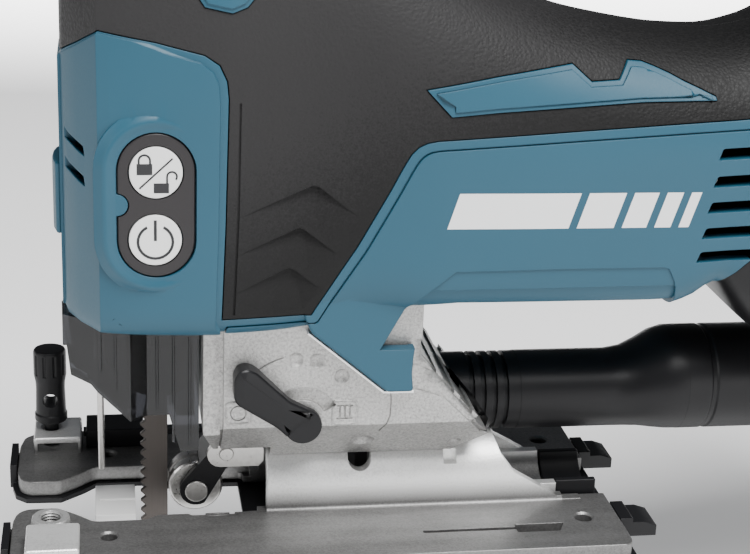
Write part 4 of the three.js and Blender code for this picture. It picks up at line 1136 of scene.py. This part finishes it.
def fenceScrewPiece():
    x, y = -83, 32
    profile = [
        (9.0, 0), (9.0, 1.7), (9.3, 1.9), (12.6, 1.9), (12.6, 4.1), (13.0, 4.4), (14.6, 4.4), (15.0, 4.1),
        (22.0, 3.9), (24.0, 4.0), (26.0, 4.4), (32.6, 4.4), (33.2, 4.1), (33.4, 3.6), (33.4, 0),
    ]
    knob = turned(profile, "Z", (x, y))
    grooves = []
    for i in range(10):
        turn = 2 * math.pi * i / 10
        grooves.append(rod(0.55, 26.4, 32.4, "Z", (x + 4.6 * math.cos(turn), y + 4.6 * math.sin(turn)), 12))
    knob = cut(knob, *grooves, rod(2, 20, 50, "Y", (-83, 19.5)))
    finish("fence_knob", knob, "fence_clamp", "black_plastic", ("fence_screw",))

fenceScrewPiece()


# ---- dust outlet

outlet = {
    "spigot": 6.8, "spigotBore": 5.4, "tube": 10.4, "tubeBore": 8.4, "tubeZ": 31.7,
    "socket": 14.0, "socketBore": 11.8, "socketZ": 34.3, "collar": 10.3, "groove": 13.6,
    "ribs": [24.5, 27.5, 30.5, 33.5],
    "swell": [(63, 10.4), (67.5, 10.8), (71.5, 11.8), (75.5, 13.2), (79, 13.9), (83.5, 14.0)],
}

def grooved(start, end):
    # a stretch of socket wall with a shallow groove before its end
    wide, narrow = outlet["socket"], outlet["groove"]
    return [(start, wide), (end - 2, wide), (end - 1.5, narrow), (end - 0.5, narrow), (end, wide)]

def nozzlePiece():
    tubeLine, socketLine = (0, outlet["tubeZ"]), (0, outlet["socketZ"])
    spigot, bore, tube, tubeBore = (outlet[k] for k in ("spigot", "spigotBore", "tube", "tubeBore"))
    profile = [(22, bore), (22, spigot - 0.3), (22.3, spigot), (36, spigot), (37.4, 9.8), (38.0, tube)]
    profile += [(78, tube), (78, tubeBore), (38, tubeBore), (36.4, bore), (22, bore)]
    body = turned(profile, "X", tubeLine, 96)

    # ribbed collar between the casting and the tube
    hollows = [rod(7.0, 0, 36.8, "X", tubeLine, 48), rod(8.3, 30, 60, "X", tubeLine, 48)]
    collar = cut(rod(outlet["collar"], 10, 38.4, "X", tubeLine, 96), *hollows)
    for x in outlet["ribs"]:
        collar = cut(collar, cut(rod(12, x, x + 1.2, "X", tubeLine), rod(9.3, 0, 60, "X", tubeLine)))
    slanted = [(11.0, 50), (25.0, 34.4), (29.6, 27.6), (29.6, 10), (39, 10), (39, 50)]
    collar = common(collar, prism(slanted, -20, 20))
    collar = cut(collar, rod(13.95, 0, 60, "X", (0, base["tiltZ"]), 96))

    # the tube swells and rises off centre towards the socket
    swell = outlet["swell"]
    flare = turned([(swell[0][0], 0), *swell, (swell[-1][0], 0)], "X", tubeLine, 96)
    for vert in flare.vertices:
        share = min(1.0, max(0.0, (vert.co.x - 64) / 15))
        vert.co.z += (outlet["socketZ"] - outlet["tubeZ"]) * share * share * (3 - 2 * share)
    wall = [(82, 0), *grooved(82, 90), *grooved(90, 106)[1:]]
    wall += [(117.4, outlet["socket"]), (118, 13.4), (118, 0)]
    solid = join(body, flare, turned(wall, "X", socketLine, 96))
    socketBore = rod(outlet["socketBore"], 83, 130, "X", socketLine, 64)
    solid = cut(solid, rod(tubeBore, 60, 83, "X", tubeLine, 64), socketBore)
    finish("dust_outlet", join(solid, collar), "nozzle", "black_plastic", ("dust_nozzle",))

nozzlePiece()


# ---- battery

def batteryPiece():
    body = cadCopy("battery_case")
    tools = []
    for side in (-1, 1):
        low, high = sorted((side * 37.2, side * 45))
        for z in (74, 80, 86, 92):
            tools.append(prism(rect(152, 190, z, z + 2.2), low, high, rounding=0.9))
        low, high = sorted((side * 37.0, side * 45))
        frameOuter = prism(rect(148, 194, 112, 150), low, high, rounding=4)
        tools.append(cut(frameOuter, prism(rect(149, 193, 113, 149), -60, 60, rounding=3.4)))
    tools.append(cut(block(202.5, 210, -26, 26, 60, 150), block(200, 211, -25, 25, 61, 149)))
    tools.append(cut(block(100, 260, -60, 60, 60, 60.6), block(141.5, 202.5, -36.9, 36.9, 50, 70)))
    finish("battery_body", cut(body, *tools), "battery", "black_plastic", ("battery_case",), bevel=0.0)

batteryPiece()
print("outlet and battery ready")


# ---- finishes of the parts kept from the frame

keptFinishes = {
    "upper_guide": "bronze", "lower_guide": "bronze",
    "gear_bearing": "bright_steel", "front_bearing": "bright_steel",
    "rear_bearing": "bright_steel", "motor_stator": "motor_steel", "motor_rotor": "bright_steel",
    "cooling_fan": "black_plastic", "drive_gear": "dark_steel", "controller_board": "circuit_board",
    "terminal_block": "black_plastic",
}
for node, name in keptFinishes.items():
    for row in bpy.data.objects[node].material_slots:
        row.material = finishes[name]


# ---- floor and finish

def addFloor():
    bm = bmesh.new()
    bmesh.ops.create_grid(bm, x_segments=1, y_segments=1, size=6)
    bmesh.ops.translate(bm, verts=bm.verts, vec=(0, 0, cadBounds[0][2] - 0.0006))
    mesh = bpy.data.meshes.new("floor")
    bm.to_mesh(mesh)
    bm.free()
    glow = {"Emission_Color": (1, 1, 1, 1), "Emission_Strength": 0.3}
    surface = Surface("floor_paint", (0.9, 0.9, 0.9), 0.75, **glow)
    surface.set("Roughness", surface.noise(12, 2.0) * 0.1 + 0.7)
    mesh.materials.append(surface.material)
    obj = bpy.data.objects.new("floor", mesh)
    bpy.context.scene.collection.objects.link(obj)

aimCamera()
addLamps()
addFloor()
print("stage ready")
